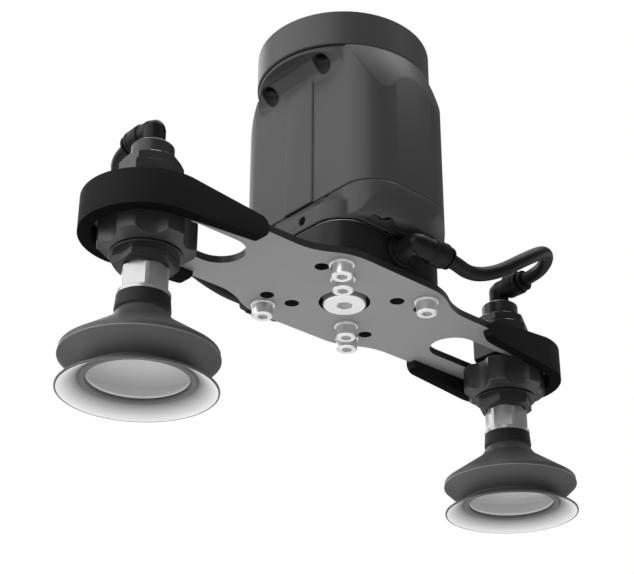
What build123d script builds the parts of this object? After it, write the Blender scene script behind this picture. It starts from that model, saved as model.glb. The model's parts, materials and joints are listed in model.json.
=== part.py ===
from build123d import *
import os
from math import cos, degrees, pi, radians, sin, tan

os.makedirs("parts", exist_ok=True)

# Vacuum gripper with a built-in pump and two bellows cups on a slotted plate.
# The origin is the centre of the face that meets the robot's flange.
# +Z leaves the gripper towards the robot, and the plate's long axis is X.
# The right-hand cup, on +X, is modelled, and the left one is it turned half round about Z.

# Fits and small clearances
running_clearance = 0.05
sliding_clearance = 0.4
seat_gap = 0.05
guard_clearance = 0.3
screw_clearance = 0.3
edge_break = 0.4

# Robot coupling ring
ring_radius = 37.5
ring_height = 16.6
flange_circle = 50.0
flange_hole_radius = 3.3
flange_head_radius = 5.5
flange_head_depth = 6.4
flange_hole_count = 4
pilot_radius = 15.75
pilot_depth = 6.0
cable_way_radius = 8.0
ring_pocket_depth = 6.0
ring_rim = 1.9
socket_radius = 4.5
socket_length = 12.0
socket_proud = 3.5
socket_height = 5.7
pin_radius = 0.5
pin_circle_radius = 1.9
pin_length = 5.0

# Pump housing
body_width = 50.0
body_depth = 84.0
body_corner = 15.0
body_height = 68.1
body_wall = 2.6
deck_thickness = 3.0
groove_height = 0.8
shoulder_radius = 44.5
shoulder_drop = 35.0
flange_rim = 1.5
flange_inset = 0.8
flare_radius = 9.0
rib_width = 17.0
rib_proud = 0.9
rib_corner = 0.85
key_hole_radius = 2.85
key_inset = 5.7
key_angle = 30.84
key_pocket_radius = 3.9
key_pocket_depth = 3.6
coupling_screw_radius = 1.45
coupling_head_radius = 2.75
coupling_head_height = 3.0
coupling_seat_depth = 4.4
coupling_screw_length = 10.0
boss_x = 11.0
boss_inset = 6.4
boss_radius = 4.2
boss_height = 14.0

# Lower cap
seal_height = 0.4
seal_inset = 0.5
cap_height = 15.4
cap_base_height = 7.9
cap_shoulder_angle = 41.0
cap_under_lift = 2.4
bowl_radius = 43.9
bowl_low_radius = 40.0
bowl_drop = 0.9
cap_edge_round = 2.0
relief_width = 38.0
relief_outer = 36.5
relief_corner = 2.5
cap_pocket_width = 42.0
cap_pocket_depth = 60.0
cap_pocket_corner = 6.0
cap_floor = 3.1
side_hole_radius = 1.9
side_hole_y = -8.7
side_hole_lift = 4.1
side_hole_depth = 3.0
m3_radius = 1.5
m3_head_radius = 2.75
m3_head_height = 3.0
cap_screw_grip = 9.0

# Manifold block
block_width = 62.0
block_corner = 14.0
block_height = 14.0
gasket_height = 0.8
gasket_inset = 0.6
centre_bore_radius = 6.6
centre_bore_depth = 11.0
channel_radius = 2.5
port_lift = 7.4
port_thread_radius = 4.7
port_thread_length = 8.0
block_screw_x = 12.0
block_screw_y = 26.0

# Mounting plate
plate_thickness = 3.0
plate_centre_half = 32.0
plate_arm_half = 23.4
waist_start = 17.5
waist_end = 47.0
cup_pitch = 195.2
slot_half = 10.4
slot_inner = 64.9
plug_hole_radius = 10.5
screw_outer = 23.46
screw_inner = 15.1
plate_screw_hole_radius = 2.8
spare_hole_radius = 3.0
m5_radius = 2.4
m5_head_radius = 4.3
m5_head_height = 5.0
m5_key_width = 4.0
m5_key_depth = 2.5
washer_radius = 5.0
washer_thickness = 1.0
m5_length = 11.0

# Centre plug
plug_radius = 8.75
plug_head_height = 4.3
plug_seal_radius = 10.0
plug_seal_height = 0.3
plug_key_width = 6.0
plug_key_depth = 3.2
plug_thread_length = 5.0

# End guards, pushed over the plate's ends
guard_outer = 25.2
guard_inner = 20.3
guard_tip_x = 61.5
guard_high = 7.0
guard_low = 7.2
guard_tip_high = 4.0
guard_tip_low = 4.2
guard_round = 1.6
guard_tip_round = 2.2

# Clamp stack above the plate
clamp_body_across = 23.4
clamp_body_height = 13.8
lock_nut_across = 20.8
lock_nut_height = 6.2
hex_turn = 30.0
stem_cap_radius = 8.1
stem_cap_height = 6.7
chamfer_size = 0.6
stem_radius = 10.0
stem_bore = 4.0

# Clamp stack below the plate
thrust_radius = 13.0
thrust_thickness = 1.0
knob_radius = 18.0
knob_lobes = 6
knob_straight = 6.9
knob_drop = 13.4
knob_nose_radius = 13.4
scallop_radius = 7.0
scallop_circle = 20.5
scallop_straight = 3.9
knob_gap = 0.55
stem_flange_radius = 13.4
stem_flange_height = 0.7
stem_hex_across = 21.2
stem_hex_height = 4.9
fitting_across = 16.4
fitting_corner_radius = 9.1
fitting_height = 11.2
fitting_flange_radius = 9.8
fitting_flange_height = 1.4
fitting_groove_radius = 8.2
fitting_groove_height = 0.8
fitting_thread_radius = 6.5
fitting_thread_length = 7.0
fitting_spigot_radius = 5.2
fitting_spigot_length = 6.6
fitting_bore = 3.0
filter_radius = 4.2
filter_height = 1.5

# Bellows cup
neck_radius = 9.7
neck_height = 5.6
neck_low_radius = 10.2
cup_wall = 1.8
cup_top_rise = 14.9
cup_radius = 28.4
cup_rim_height = 2.0
cup_rim_round = 0.9
cup_fold_radius = 26.0
cup_valley_radius = 21.2
cup_valley_drop = 8.7
cup_opening_radius = 17.9
bead_radius = 20.4
bead_height = 2.2
lip_drop = 6.5
lip_radius = 28.3
lip_edge = 0.7
lip_travel = 8.0

# Push-in elbows and hoses
hose_radius = 3.0
hose_bore = 2.0
hose_clearance = 0.15
elbow_stem_radius = 4.4
elbow_barrel_radius = 5.3
elbow_base_radius = 5.4
elbow_base_height = 2.6
top_elbow_rise = 9.1
top_elbow_reach = 15.6
top_thread_radius = 3.6
top_thread_length = 6.0
port_flange_radius = 6.6
port_elbow_rise = 10.0
port_elbow_reach = 18.0
collar_radius = 4.7
collar_proud = 2.4
collar_flange = 1.0
collar_length = 6.0
collar_sleeve_radius = 3.8
collar_travel = 0.8

# Pump, inside the housing
motor_radius = 14.0
motor_height = 32.0
motor_y = 14.0
motor_bore = 1.6
shaft_radius = 1.55
shaft_out = 21.0
eccentric_offset = 1.2
eccentric_radius = 5.0
eccentric_height = 8.0
eccentric_drop = 12.0
rod_eye_radius = 8.0
rod_height = 5.0
rod_shank_width = 6.0
rod_tip_radius = 6.0
rod_tip_thickness = 2.0
board_width = 38.0
board_depth = 56.0
board_thickness = 1.6
board_clearance = 6.0
chip_size = 10.0
chip_height = 1.6
chip_place = (-8.0, -12.0)
capacitor_radius = 3.2
capacitor_height = 4.5
capacitor_place = (8.0, -16.0)
plug_width = 8.0
plug_depth = 14.0
plug_height = 4.0
plug_place = (9.0, 12.0)
chassis_width = 38.0
chassis_depth = 60.0
chassis_thickness = 3.0
pillar_radius = 2.5
pillar_x = 16.2
pillar_y = 26.5
pump_width = 26.0
pump_bore = 10.2
cylinder_length = 6.0
diaphragm_y = -12.0
diaphragm_thickness = 1.0
diaphragm_radius = 11.6
valve_plate_thickness = 4.0
chamber_depth = 2.8
head_length = 11.0
valve_radius = 3.2
valve_offset = 5.0
link_radius = 3.0
link_bore = 1.6
check_radius = 5.0
check_height = 8.0
vent_width = 11.0
vent_depth = 13.0
vent_height = 12.0
vent_coil_radius = 4.5
vent_coil_height = 7.0
vent_x = 10.0
vent_y = 10.0
filter_disc_radius = 6.4
filter_disc_height = 3.0

# Places of the long keys and of the cap's screws
key_hole_x = (ring_radius - key_inset) * cos(radians(key_angle))
key_hole_y = (ring_radius - key_inset) * sin(radians(key_angle))
boss_y = body_depth / 2 - boss_inset
relief_depth = relief_outer - block_width / 2

# Levels, from the robot face down
z_ring = -ring_height
z_body_top = z_ring - groove_height
z_flange_under = z_body_top - flange_rim
z_deck = z_ring + ring_pocket_depth
z_seam = z_ring - body_height
z_cap_top = z_seam - seal_height
z_cap = z_seam - cap_height
z_cap_under = z_cap + cap_under_lift
z_cap_floor = z_cap + cap_floor
z_block_top = z_cap - gasket_height
z_plate_top = z_block_top - block_height
z_plate = z_plate_top - plate_thickness
z_port = z_plate_top + port_lift

# Levels of one cup's stack
cup_x = cup_pitch / 2
z_clamp_top = z_plate_top + clamp_body_height
z_nut_top = z_clamp_top + lock_nut_height
z_stack_top = z_nut_top + stem_cap_height
z_top_elbow = z_stack_top + top_elbow_rise
z_thrust = z_plate - seat_gap - thrust_thickness
z_knob_top = z_thrust - seat_gap
z_knob_low = z_knob_top - knob_drop
z_stem_flange = z_knob_low - knob_gap
z_stem_low = z_stem_flange - stem_flange_height - stem_hex_height
z_fitting_low = z_stem_low - fitting_height
z_neck_low = z_fitting_low - neck_height
z_cup_rim = z_neck_low - cup_top_rise
z_valley = z_cup_rim - cup_valley_drop
z_lip = z_valley - lip_drop

# Hand-chosen points of the right-hand hose, from inside the manifold's elbow to inside the
# top elbow. The first two lie on one barrel's axis and the last two on the other's.
port_y = -(block_width / 2 + port_elbow_rise)
hose_start = 8.0
hose_stop = -8.0
hose_route = [
    (hose_start, port_y, z_port),
    (20.5, port_y, z_port),
    (33.5, -38.8, -108.5),
    (48.0, -40.8, -103.1),
    (62.8, -43.9, -92.5),
    (77.0, -43.7, -83.1),
    (89.4, -35.6, -79.7),
    (cup_x, -22.5, z_top_elbow),
    (cup_x, hose_stop, z_top_elbow),
]


def save(part, label):
    """Label one finished piece and write it."""
    part.label = label
    export_step(part, "parts/" + label + ".step")


def save_pair(part, label):
    """Write the right-hand piece and its copy turned half round about Z."""
    for side, turn in (("right", 0), ("left", 180)):
        save(part.rotate(Axis.Z, turn), label + "_" + side)


def side_section(grow=0.0):
    """Draw the housing's rounded outline, grown by an even margin."""
    RectangleRounded(body_width + 2 * grow, body_depth + 2 * grow, body_corner + grow)


def shoulder_face(inset=0.0):
    """Draw the half section of the round shoulder that runs into the coupling ring."""
    with BuildLine() as outline:
        low = z_ring - shoulder_drop
        waist = Line((shoulder_radius - inset, low), (shoulder_radius - inset, z_cap))
        TangentArc(waist @ 0, (ring_radius - inset, z_ring), tangent=(0, 1))
        Line((ring_radius - inset, z_ring), (ring_radius - inset, 0))
        Polyline((ring_radius - inset, 0), (0, 0), (0, z_cap), waist @ 1)
    make_face(outline.edges())


def four_key_places():
    """Give the four places where a long key passes beside the housing."""
    return GridLocations(2 * key_hole_x, 2 * key_hole_y, 2, 2)


def plate_screw_places():
    """Give the six places of the plate's screws."""
    outer = [(x * screw_outer, y * screw_outer) for x in (-1, 1) for y in (-1, 1)]
    return outer + [(-screw_inner, -screw_inner), (screw_inner, screw_inner)]


def boss_places():
    """Give the four places of the screws that hold the cap."""
    return GridLocations(2 * boss_x, 2 * boss_y, 2, 2)


def socket_screw(radius, length, head_radius, head_height, key_width, key_depth):
    """Make a socket head screw, its head hanging below the origin and its shank above."""
    with BuildPart() as screw:
        Cylinder(head_radius, head_height, align=(Align.CENTER, Align.CENTER, Align.MAX))
        Cylinder(radius, length, align=(Align.CENTER, Align.CENTER, Align.MIN))
        chamfer(screw.faces().sort_by(Axis.Z)[0].edges(), edge_break)
        with BuildSketch(Plane.XY.offset(-head_height)):
            RegularPolygon(key_width / 2, 6, major_radius=False)
        extrude(amount=key_depth, mode=Mode.SUBTRACT)
    return screw.part


def push_in_elbow(rise, reach, base_radius, thread_radius, thread_length, stop):
    """Make an elbow at its barrel axis, its stem down and its barrel along -Y."""
    with BuildPart() as elbow:
        Cylinder(elbow_stem_radius, rise, align=(Align.CENTER, Align.CENTER, Align.MAX))
        Sphere(elbow_barrel_radius)
        with BuildSketch(Plane.XZ):
            Circle(elbow_barrel_radius)
        extrude(amount=reach - collar_proud)
        with Locations((0, 0, -rise)):
            Cylinder(base_radius, elbow_base_height, align=(Align.CENTER, Align.CENTER, Align.MIN))
            Cylinder(thread_radius, thread_length, align=(Align.CENTER, Align.CENTER, Align.MAX))
        with BuildSketch(Plane.XZ.offset(stop)):
            Circle(hose_radius + hose_clearance)
        extrude(amount=reach, mode=Mode.SUBTRACT)
        with BuildSketch(Plane.XZ.offset(reach - collar_length)):
            Circle(collar_sleeve_radius + running_clearance)
        extrude(amount=collar_length, mode=Mode.SUBTRACT)
        with BuildSketch(Plane.XZ):
            Circle(hose_bore)
        extrude(amount=stop, mode=Mode.SUBTRACT)
        with BuildSketch(Plane.XY.offset(-rise - thread_length)):
            Circle(hose_bore)
        extrude(amount=rise + thread_length, mode=Mode.SUBTRACT)
    return elbow.part


def release_collar(reach):
    """Make the ring that is pressed in to free the hose, about the same barrel axis."""
    with BuildPart() as collar:
        with BuildSketch(Plane.XZ.offset(reach - collar_length + collar_travel + seat_gap)):
            Circle(collar_sleeve_radius)
            Circle(hose_radius + hose_clearance, mode=Mode.SUBTRACT)
        extrude(amount=collar_length - collar_travel - seat_gap)
        with BuildSketch(Plane.XZ.offset(reach - collar_flange)):
            Circle(collar_radius)
            Circle(hose_radius + hose_clearance, mode=Mode.SUBTRACT)
        extrude(amount=collar_flange)
    return collar.part


# Coupling ring: bolt circle and pilot on top, a pocket for the housing's spigot underneath
with BuildPart() as coupling_ring:
    with Locations((0, 0, z_ring)):
        Cylinder(ring_radius, ring_height, align=(Align.CENTER, Align.CENTER, Align.MIN))
    chamfer(coupling_ring.faces().sort_by(Axis.Z)[-1].edges(), edge_break)
    chamfer(coupling_ring.faces().sort_by(Axis.Z)[0].edges(), edge_break)
    with BuildSketch(Plane.XY.offset(z_ring)):
        Circle(ring_radius - ring_rim)
    extrude(amount=ring_pocket_depth, mode=Mode.SUBTRACT)
    with BuildSketch(Plane.XY):
        Circle(pilot_radius)
    extrude(amount=-pilot_depth, mode=Mode.SUBTRACT)
    with BuildSketch(Plane.XY):
        Circle(cable_way_radius)
        with PolarLocations(flange_circle / 2, flange_hole_count, start_angle=45):
            Circle(flange_hole_radius)
    extrude(amount=-ring_height, mode=Mode.SUBTRACT)
    with BuildSketch(Plane.XY.offset(z_deck)):
        with PolarLocations(flange_circle / 2, flange_hole_count, start_angle=45):
            Circle(flange_head_radius)
    extrude(amount=flange_head_depth, mode=Mode.SUBTRACT)
    with BuildSketch(Plane.XY.offset(z_deck)):
        with four_key_places():
            Circle(m3_radius)
    extrude(amount=flange_head_depth, mode=Mode.SUBTRACT)
    with BuildSketch(Plane.XZ.offset(-ring_radius - socket_proud)):
        with Locations((0, -socket_height)):
            Circle(socket_radius + running_clearance)
    extrude(amount=socket_length, mode=Mode.SUBTRACT)
save(coupling_ring.part, "coupling_ring")

# Signal socket at the ring's back, with its pins
with BuildPart() as signal_socket:
    with BuildSketch(Plane.XZ.offset(-ring_radius - socket_proud)):
        with Locations((0, -socket_height)):
            Circle(socket_radius)
    extrude(amount=socket_length)
    with BuildSketch(Plane.XZ.offset(-ring_radius - socket_proud)):
        with Locations((0, -socket_height)):
            Circle(socket_radius - 1)
    extrude(amount=pin_length + 1, mode=Mode.SUBTRACT)
    with BuildSketch(Plane.XZ.offset(-ring_radius - socket_proud + pin_length + 1)):
        with Locations((0, -socket_height)):
            with PolarLocations(pin_circle_radius, 4, start_angle=45):
                Circle(pin_radius)
    extrude(amount=-pin_length)
save(signal_socket.part, "signal_socket")

# Flange of the housing: its underside runs down into the flat sides in a hollow flare
with BuildPart() as flange:
    flare_half = body_width / 2 + flare_radius
    with BuildSketch(Plane.XZ):
        with Locations((0, z_flange_under - flare_radius)):
            Rectangle(2 * flare_half, flare_radius, align=(Align.CENTER, Align.MIN))
        with Locations((-flare_half, z_flange_under - flare_radius),
                       (flare_half, z_flange_under - flare_radius)):
            Circle(flare_radius, mode=Mode.SUBTRACT)
        with Locations((0, z_flange_under)):
            Rectangle(2 * ring_radius, flange_rim, align=(Align.CENTER, Align.MIN))
    extrude(amount=ring_radius, both=True)
    with BuildSketch(Plane.XY.offset(z_seam)):
        Circle(ring_radius - flange_inset)
    extrude(amount=-z_seam, mode=Mode.INTERSECT)

# Space inside the housing
with BuildPart() as body_space:
    with BuildSketch(Plane.XY.offset(z_seam)):
        side_section(-body_wall)
    extrude(amount=z_body_top - deck_thickness - z_seam)
    with BuildSketch(Plane.XZ):
        shoulder_face(body_wall)
    revolve(axis=Axis.Z, mode=Mode.INTERSECT)

# Housing: a rounded block cut by the round shoulder, with a broad rib down each flat side
with BuildPart() as body_housing:
    with BuildSketch(Plane.XY.offset(z_seam)):
        side_section()
    extrude(amount=z_body_top - z_seam)
    with BuildSketch(Plane.XY.offset(z_seam)):
        RectangleRounded(body_width + 2 * rib_proud, rib_width, rib_corner)
    extrude(amount=z_flange_under - z_seam)
    with BuildSketch(Plane.XZ):
        shoulder_face()
    revolve(axis=Axis.Z, mode=Mode.INTERSECT)
    add(flange.part)
    with BuildSketch(Plane.XY.offset(z_flange_under)):
        with four_key_places():
            Circle(key_pocket_radius)
    extrude(amount=-key_pocket_depth, mode=Mode.SUBTRACT)
    with Locations([place * Pos(0, 0, z_flange_under - key_pocket_depth)
                    for place in four_key_places().locations]):
        Sphere(key_pocket_radius, mode=Mode.SUBTRACT)
    with BuildSketch(Plane.XY.offset(z_body_top)):
        Circle(ring_radius - ring_rim - running_clearance)
    extrude(amount=z_deck - z_body_top)
    add(body_space.part, mode=Mode.SUBTRACT)
    with BuildSketch(Plane.XY.offset(z_deck)):
        Circle(cable_way_radius)
    extrude(amount=z_seam, mode=Mode.SUBTRACT)
    with BuildSketch(Plane.XY.offset(z_flange_under)):
        with four_key_places():
            Circle(key_hole_radius)
    extrude(amount=coupling_seat_depth, mode=Mode.SUBTRACT)
    with BuildSketch(Plane.XY.offset(z_flange_under)):
        with four_key_places():
            Circle(m3_radius)
    extrude(amount=z_deck - z_flange_under, mode=Mode.SUBTRACT)
    with BuildSketch(Plane.XY.offset(z_seam)):
        with boss_places():
            Circle(boss_radius)
            Circle(m3_radius, mode=Mode.SUBTRACT)
    extrude(amount=boss_height)
save(body_housing.part, "body_housing")

# Four screws that hold the housing to the ring, reached from below with a long key
coupling_screw = socket_screw(coupling_screw_radius, coupling_screw_length,
                              coupling_head_radius, coupling_head_height, 2.5, 1.5)
with BuildPart() as coupling_screws:
    with Locations([place * Pos(0, 0, z_flange_under + coupling_seat_depth)
                    for place in four_key_places().locations]):
        add(coupling_screw)
save(coupling_screws.part, "coupling_screws")

# Seal between housing and cap
with BuildPart() as cap_seal:
    with BuildSketch(Plane.XY.offset(z_cap_top)):
        side_section(-seal_inset)
        side_section(-body_wall)
        RectangleRounded(cap_pocket_width, cap_pocket_depth, cap_pocket_corner,
                         mode=Mode.SUBTRACT)
        with boss_places():
            Circle(m3_radius, mode=Mode.SUBTRACT)
    extrude(amount=seal_height)
save(cap_seal.part, "cap_seal")

# Base of the cap, which carries the manifold block's outline up to the seam
with BuildPart() as cap_base:
    with BuildSketch(Plane.XY.offset(z_cap)):
        RectangleRounded(block_width, block_width, block_corner)
    extrude(amount=cap_base_height)
    with BuildSketch(Plane.XY.offset(z_cap + cap_base_height)):
        RectangleRounded(block_width, block_width, block_corner)
    extrude(amount=z_cap_top - z_cap - cap_base_height, taper=cap_shoulder_angle)

# Lower cap: blends the housing's outline above into the block's outline below
with BuildPart() as lower_cap:
    with BuildSketch(Plane.XY.offset(z_cap)):
        side_section()
    extrude(amount=z_cap_top - z_cap)
    with BuildSketch(Plane.XZ):
        with BuildLine():
            bowl = TangentArc((bowl_radius, z_cap_top - bowl_drop), (bowl_low_radius, z_cap),
                              tangent=(0, -1))
            Polyline(bowl @ 1, (0, z_cap), (0, z_cap_top), (bowl_radius, z_cap_top), bowl @ 0)
        make_face()
    revolve(axis=Axis.Z, mode=Mode.INTERSECT)
    fillet(lower_cap.faces().sort_by(Axis.Z)[0].edges(), cap_edge_round)
    with BuildSketch(Plane.XY.offset(z_cap)):
        with Locations((0, (block_width + relief_depth) / 2), (0, -(block_width + relief_depth) / 2)):
            RectangleRounded(relief_width, relief_depth, relief_corner)
    extrude(amount=cap_under_lift, mode=Mode.SUBTRACT)
    add(cap_base.part)
    with BuildSketch(Plane.XY.offset(z_cap_top)):
        RectangleRounded(cap_pocket_width, cap_pocket_depth, cap_pocket_corner)
    extrude(amount=z_cap_floor - z_cap_top, mode=Mode.SUBTRACT)
    with BuildSketch(Plane.XY.offset(z_cap)):
        Circle(channel_radius)
        with Locations((0, diaphragm_y - valve_plate_thickness - head_length)):
            Circle(channel_radius)
        with four_key_places():
            Circle(key_hole_radius)
        with boss_places():
            Circle(m3_radius)
        with GridLocations(2 * block_screw_x, 2 * block_screw_y, 2, 2):
            Circle(m3_radius)
    extrude(amount=cap_height, mode=Mode.SUBTRACT)
    with BuildSketch(Plane.XY.offset(z_cap)):
        with boss_places():
            Circle(m3_head_radius + screw_clearance)
    extrude(amount=cap_under_lift + m3_head_height, mode=Mode.SUBTRACT)
    with BuildSketch(Plane.YZ.offset(-block_width / 2)):
        with Locations((side_hole_y, z_cap + side_hole_lift)):
            Circle(side_hole_radius)
    extrude(amount=side_hole_depth, mode=Mode.SUBTRACT)
save(lower_cap.part, "lower_cap")

# Cap screws, up into the housing's bosses
cap_screw = socket_screw(coupling_screw_radius, cap_screw_grip + cap_height - cap_under_lift
                         - m3_head_height, m3_head_radius, m3_head_height, 2.5, 1.5)
with BuildPart() as cap_screws:
    with Locations([place * Pos(0, 0, z_cap_under + m3_head_height)
                    for place in boss_places().locations]):
        add(cap_screw)
save(cap_screws.part, "cap_screws")

# Gasket that shows as a dark line above the manifold block
with BuildPart() as manifold_gasket:
    with BuildSketch(Plane.XY.offset(z_block_top)):
        RectangleRounded(block_width - 2 * gasket_inset, block_width - 2 * gasket_inset,
                         block_corner - gasket_inset)
        Circle(channel_radius, mode=Mode.SUBTRACT)
        with four_key_places():
            Circle(key_hole_radius, mode=Mode.SUBTRACT)
        with GridLocations(2 * block_screw_x, 2 * block_screw_y, 2, 2):
            Circle(m3_radius, mode=Mode.SUBTRACT)
    extrude(amount=gasket_height)
save(manifold_gasket.part, "manifold_gasket")

# Manifold block: a centre bore with a plug below, and a threaded port in each long face
with BuildPart() as manifold_block:
    with BuildSketch(Plane.XY.offset(z_plate_top)):
        RectangleRounded(block_width, block_width, block_corner)
    extrude(amount=block_height)
    chamfer(manifold_block.faces().sort_by(Axis.Z)[-1].edges(), edge_break)
    with BuildSketch(Plane.XY.offset(z_plate_top)):
        Circle(centre_bore_radius)
        with four_key_places():
            Circle(key_hole_radius)
    extrude(amount=centre_bore_depth, mode=Mode.SUBTRACT)
    with BuildSketch(Plane.XY.offset(z_plate_top)):
        Circle(channel_radius)
        with four_key_places():
            Circle(key_hole_radius)
        with GridLocations(2 * block_screw_x, 2 * block_screw_y, 2, 2):
            Circle(m3_radius)
    extrude(amount=block_height, mode=Mode.SUBTRACT)
    with BuildSketch(Plane.XY.offset(z_plate_top)):
        with Locations(plate_screw_places()):
            Circle(m5_radius + running_clearance)
        with GridLocations(2 * block_screw_x, 2 * block_screw_y, 2, 2):
            Circle(m3_head_radius + screw_clearance)
    extrude(amount=m5_length - plate_thickness - washer_thickness + 1, mode=Mode.SUBTRACT)
    with BuildSketch(Plane.XZ.offset(block_width / 2)):
        with Locations((0, z_port)):
            Circle(port_thread_radius + running_clearance)
    extrude(amount=-port_thread_length - 1, mode=Mode.SUBTRACT)
    with BuildSketch(Plane.XZ.offset(-block_width / 2)):
        with Locations((0, z_port)):
            Circle(port_thread_radius + running_clearance)
    extrude(amount=port_thread_length + 1, mode=Mode.SUBTRACT)
    with BuildSketch(Plane.XZ.offset(-block_width / 2)):
        with Locations((0, z_port)):
            Circle(channel_radius)
    extrude(amount=block_width, mode=Mode.SUBTRACT)
save(manifold_block.part, "manifold_block")

# Block screws, hidden by the plate
block_screw_seat = m5_length - plate_thickness - washer_thickness + 1
block_screw = socket_screw(coupling_screw_radius, block_height + gasket_height
                           - block_screw_seat + cap_floor, m3_head_radius, m3_head_height, 2.5, 1.5)
with BuildPart() as block_screws:
    with Locations([place * Pos(0, 0, z_plate_top + block_screw_seat)
                    for place in GridLocations(2 * block_screw_x, 2 * block_screw_y, 2, 2).locations]):
        add(block_screw)
save(block_screws.part, "block_screws")

# Mounting plate: wide at the block, waisted to two slotted arms with round ends
with BuildPart() as mounting_plate:
    with BuildSketch(Plane.XY.offset(z_plate)):
        with BuildLine():
            waist_mid = ((waist_start + waist_end) / 2, (plate_centre_half + plate_arm_half) / 2)
            Line((0, plate_centre_half), (waist_start, plate_centre_half))
            shoulder = TangentArc((waist_start, plate_centre_half), waist_mid, tangent=(1, 0))
            TangentArc(shoulder @ 1, (waist_end, plate_arm_half), tangent=shoulder % 1)
            Line((waist_end, plate_arm_half), (cup_x, plate_arm_half))
            RadiusArc((cup_x, plate_arm_half), (cup_x + plate_arm_half, 0), plate_arm_half)
            Line((cup_x + plate_arm_half, 0), (0, 0))
            Line((0, 0), (0, plate_centre_half))
        make_face()
        mirror(about=Plane.XZ)
        mirror(about=Plane.YZ)
        with Locations(((slot_inner + cup_x) / 2, 0), (-(slot_inner + cup_x) / 2, 0)):
            SlotCenterToCenter(cup_x - slot_inner, 2 * slot_half, mode=Mode.SUBTRACT)
        Circle(plug_hole_radius, mode=Mode.SUBTRACT)
        with Locations(plate_screw_places()):
            Circle(plate_screw_hole_radius, mode=Mode.SUBTRACT)
        with Locations((-screw_inner, screw_inner), (screw_inner, -screw_inner)):
            Circle(spare_hole_radius, mode=Mode.SUBTRACT)
        with four_key_places():
            Circle(key_hole_radius, mode=Mode.SUBTRACT)
    extrude(amount=plate_thickness)
save(mounting_plate.part, "mounting_plate")

# Six plate screws and their washers
plate_screw = socket_screw(m5_radius, m5_length, m5_head_radius, m5_head_height,
                           m5_key_width, m5_key_depth)
with BuildPart() as plate_screws:
    with Locations([Pos(x, y, z_plate - washer_thickness) for x, y in plate_screw_places()]):
        add(plate_screw)
save(plate_screws.part, "plate_screws")

with BuildPart() as plate_washers:
    with BuildSketch(Plane.XY.offset(z_plate)):
        with Locations(plate_screw_places()):
            Circle(washer_radius)
            Circle(m5_radius + running_clearance, mode=Mode.SUBTRACT)
    extrude(amount=-washer_thickness)
save(plate_washers.part, "plate_washers")

# Plug of the centre bore and the seal under its head
z_plug_seat = z_plate_top - plug_seal_height
with BuildPart() as port_plug:
    with Locations((0, 0, z_plug_seat)):
        Cylinder(plug_radius, plug_head_height, align=(Align.CENTER, Align.CENTER, Align.MAX))
        Cylinder(centre_bore_radius - running_clearance, plug_thread_length,
                 align=(Align.CENTER, Align.CENTER, Align.MIN))
    chamfer(port_plug.faces().sort_by(Axis.Z)[0].edges(), edge_break)
    with BuildSketch(Plane.XY.offset(z_plug_seat - plug_head_height)):
        RegularPolygon(plug_key_width / 2, 6, major_radius=False)
    extrude(amount=plug_key_depth, mode=Mode.SUBTRACT)
save(port_plug.part, "port_plug")

with BuildPart() as plug_seal:
    with BuildSketch(Plane.XY.offset(z_plate_top)):
        Circle(plug_seal_radius)
        Circle(centre_bore_radius, mode=Mode.SUBTRACT)
    extrude(amount=-plug_seal_height)
save(plug_seal.part, "plug_seal")

# Inlet filter disc at the top of the centre bore
with BuildPart() as inlet_filter:
    with BuildSketch(Plane.XY.offset(z_plate_top + centre_bore_depth)):
        Circle(filter_disc_radius)
    extrude(amount=-(centre_bore_depth - port_lift - channel_radius))
save(inlet_filter.part, "inlet_filter")

# Port elbows on the block's long faces, and the hoses' release collars
port_plane = Plane(origin=(0, port_y, z_port), x_dir=(0, 0, 1), z_dir=(0, -1, 0))
port_elbow_shape = push_in_elbow(port_elbow_rise, port_elbow_reach, port_flange_radius,
                                 port_thread_radius, port_thread_length, hose_start)
save_pair(port_plane * port_elbow_shape, "port_elbow")
save_pair(port_plane * release_collar(port_elbow_reach), "port_collar")

# End guards: a soft channel round each end of the plate, deepest at the cup
with BuildPart() as end_guard:
    with BuildSketch(Plane.XY.offset(z_plate - guard_low)):
        with Locations((cup_x, 0)):
            Circle(guard_outer)
        with Locations((guard_tip_x, 0)):
            Rectangle(cup_x - guard_tip_x, 2 * guard_outer, align=(Align.MIN, Align.CENTER))
        with Locations((cup_x, 0)):
            Circle(guard_inner, mode=Mode.SUBTRACT)
        Rectangle(cup_x, 2 * guard_inner, align=(Align.MIN, Align.CENTER), mode=Mode.SUBTRACT)
    extrude(amount=guard_low + guard_high)
    with BuildSketch(Plane.XZ):
        with BuildLine():
            Polyline((guard_tip_x, z_plate - guard_tip_low), (cup_x, z_plate - guard_low),
                     (cup_x + guard_outer, z_plate - guard_low),
                     (cup_x + guard_outer, z_plate + guard_high), (cup_x, z_plate + guard_high),
                     (guard_tip_x, z_plate + guard_tip_high), close=True)
        make_face()
    extrude(amount=guard_outer, both=True, mode=Mode.INTERSECT)
    tips = end_guard.edges().filter_by(Axis.Y).group_by(Axis.X)[0]
    fillet(tips, guard_tip_round)
    with BuildSketch(Plane.XY.offset(z_plate)):
        with Locations((cup_x, 0)):
            Circle(plate_arm_half)
        Rectangle(cup_x, 2 * plate_arm_half, align=(Align.MIN, Align.CENTER))
    extrude(amount=plate_thickness, mode=Mode.SUBTRACT)
save_pair(end_guard.part, "end_guard")

# Clamp body that sits on the plate
with BuildPart() as clamp_body:
    with BuildSketch(Plane.XY.offset(z_plate_top + seat_gap)):
        with Locations((cup_x, 0)):
            RegularPolygon(clamp_body_across / 2, 6, major_radius=False, rotation=hex_turn)
            Circle(stem_radius + running_clearance, mode=Mode.SUBTRACT)
    extrude(amount=clamp_body_height - seat_gap)
    chamfer(clamp_body.faces().sort_by(Axis.Z)[-1].outer_wire().edges(), chamfer_size)
save_pair(clamp_body.part, "clamp_body")

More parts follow.
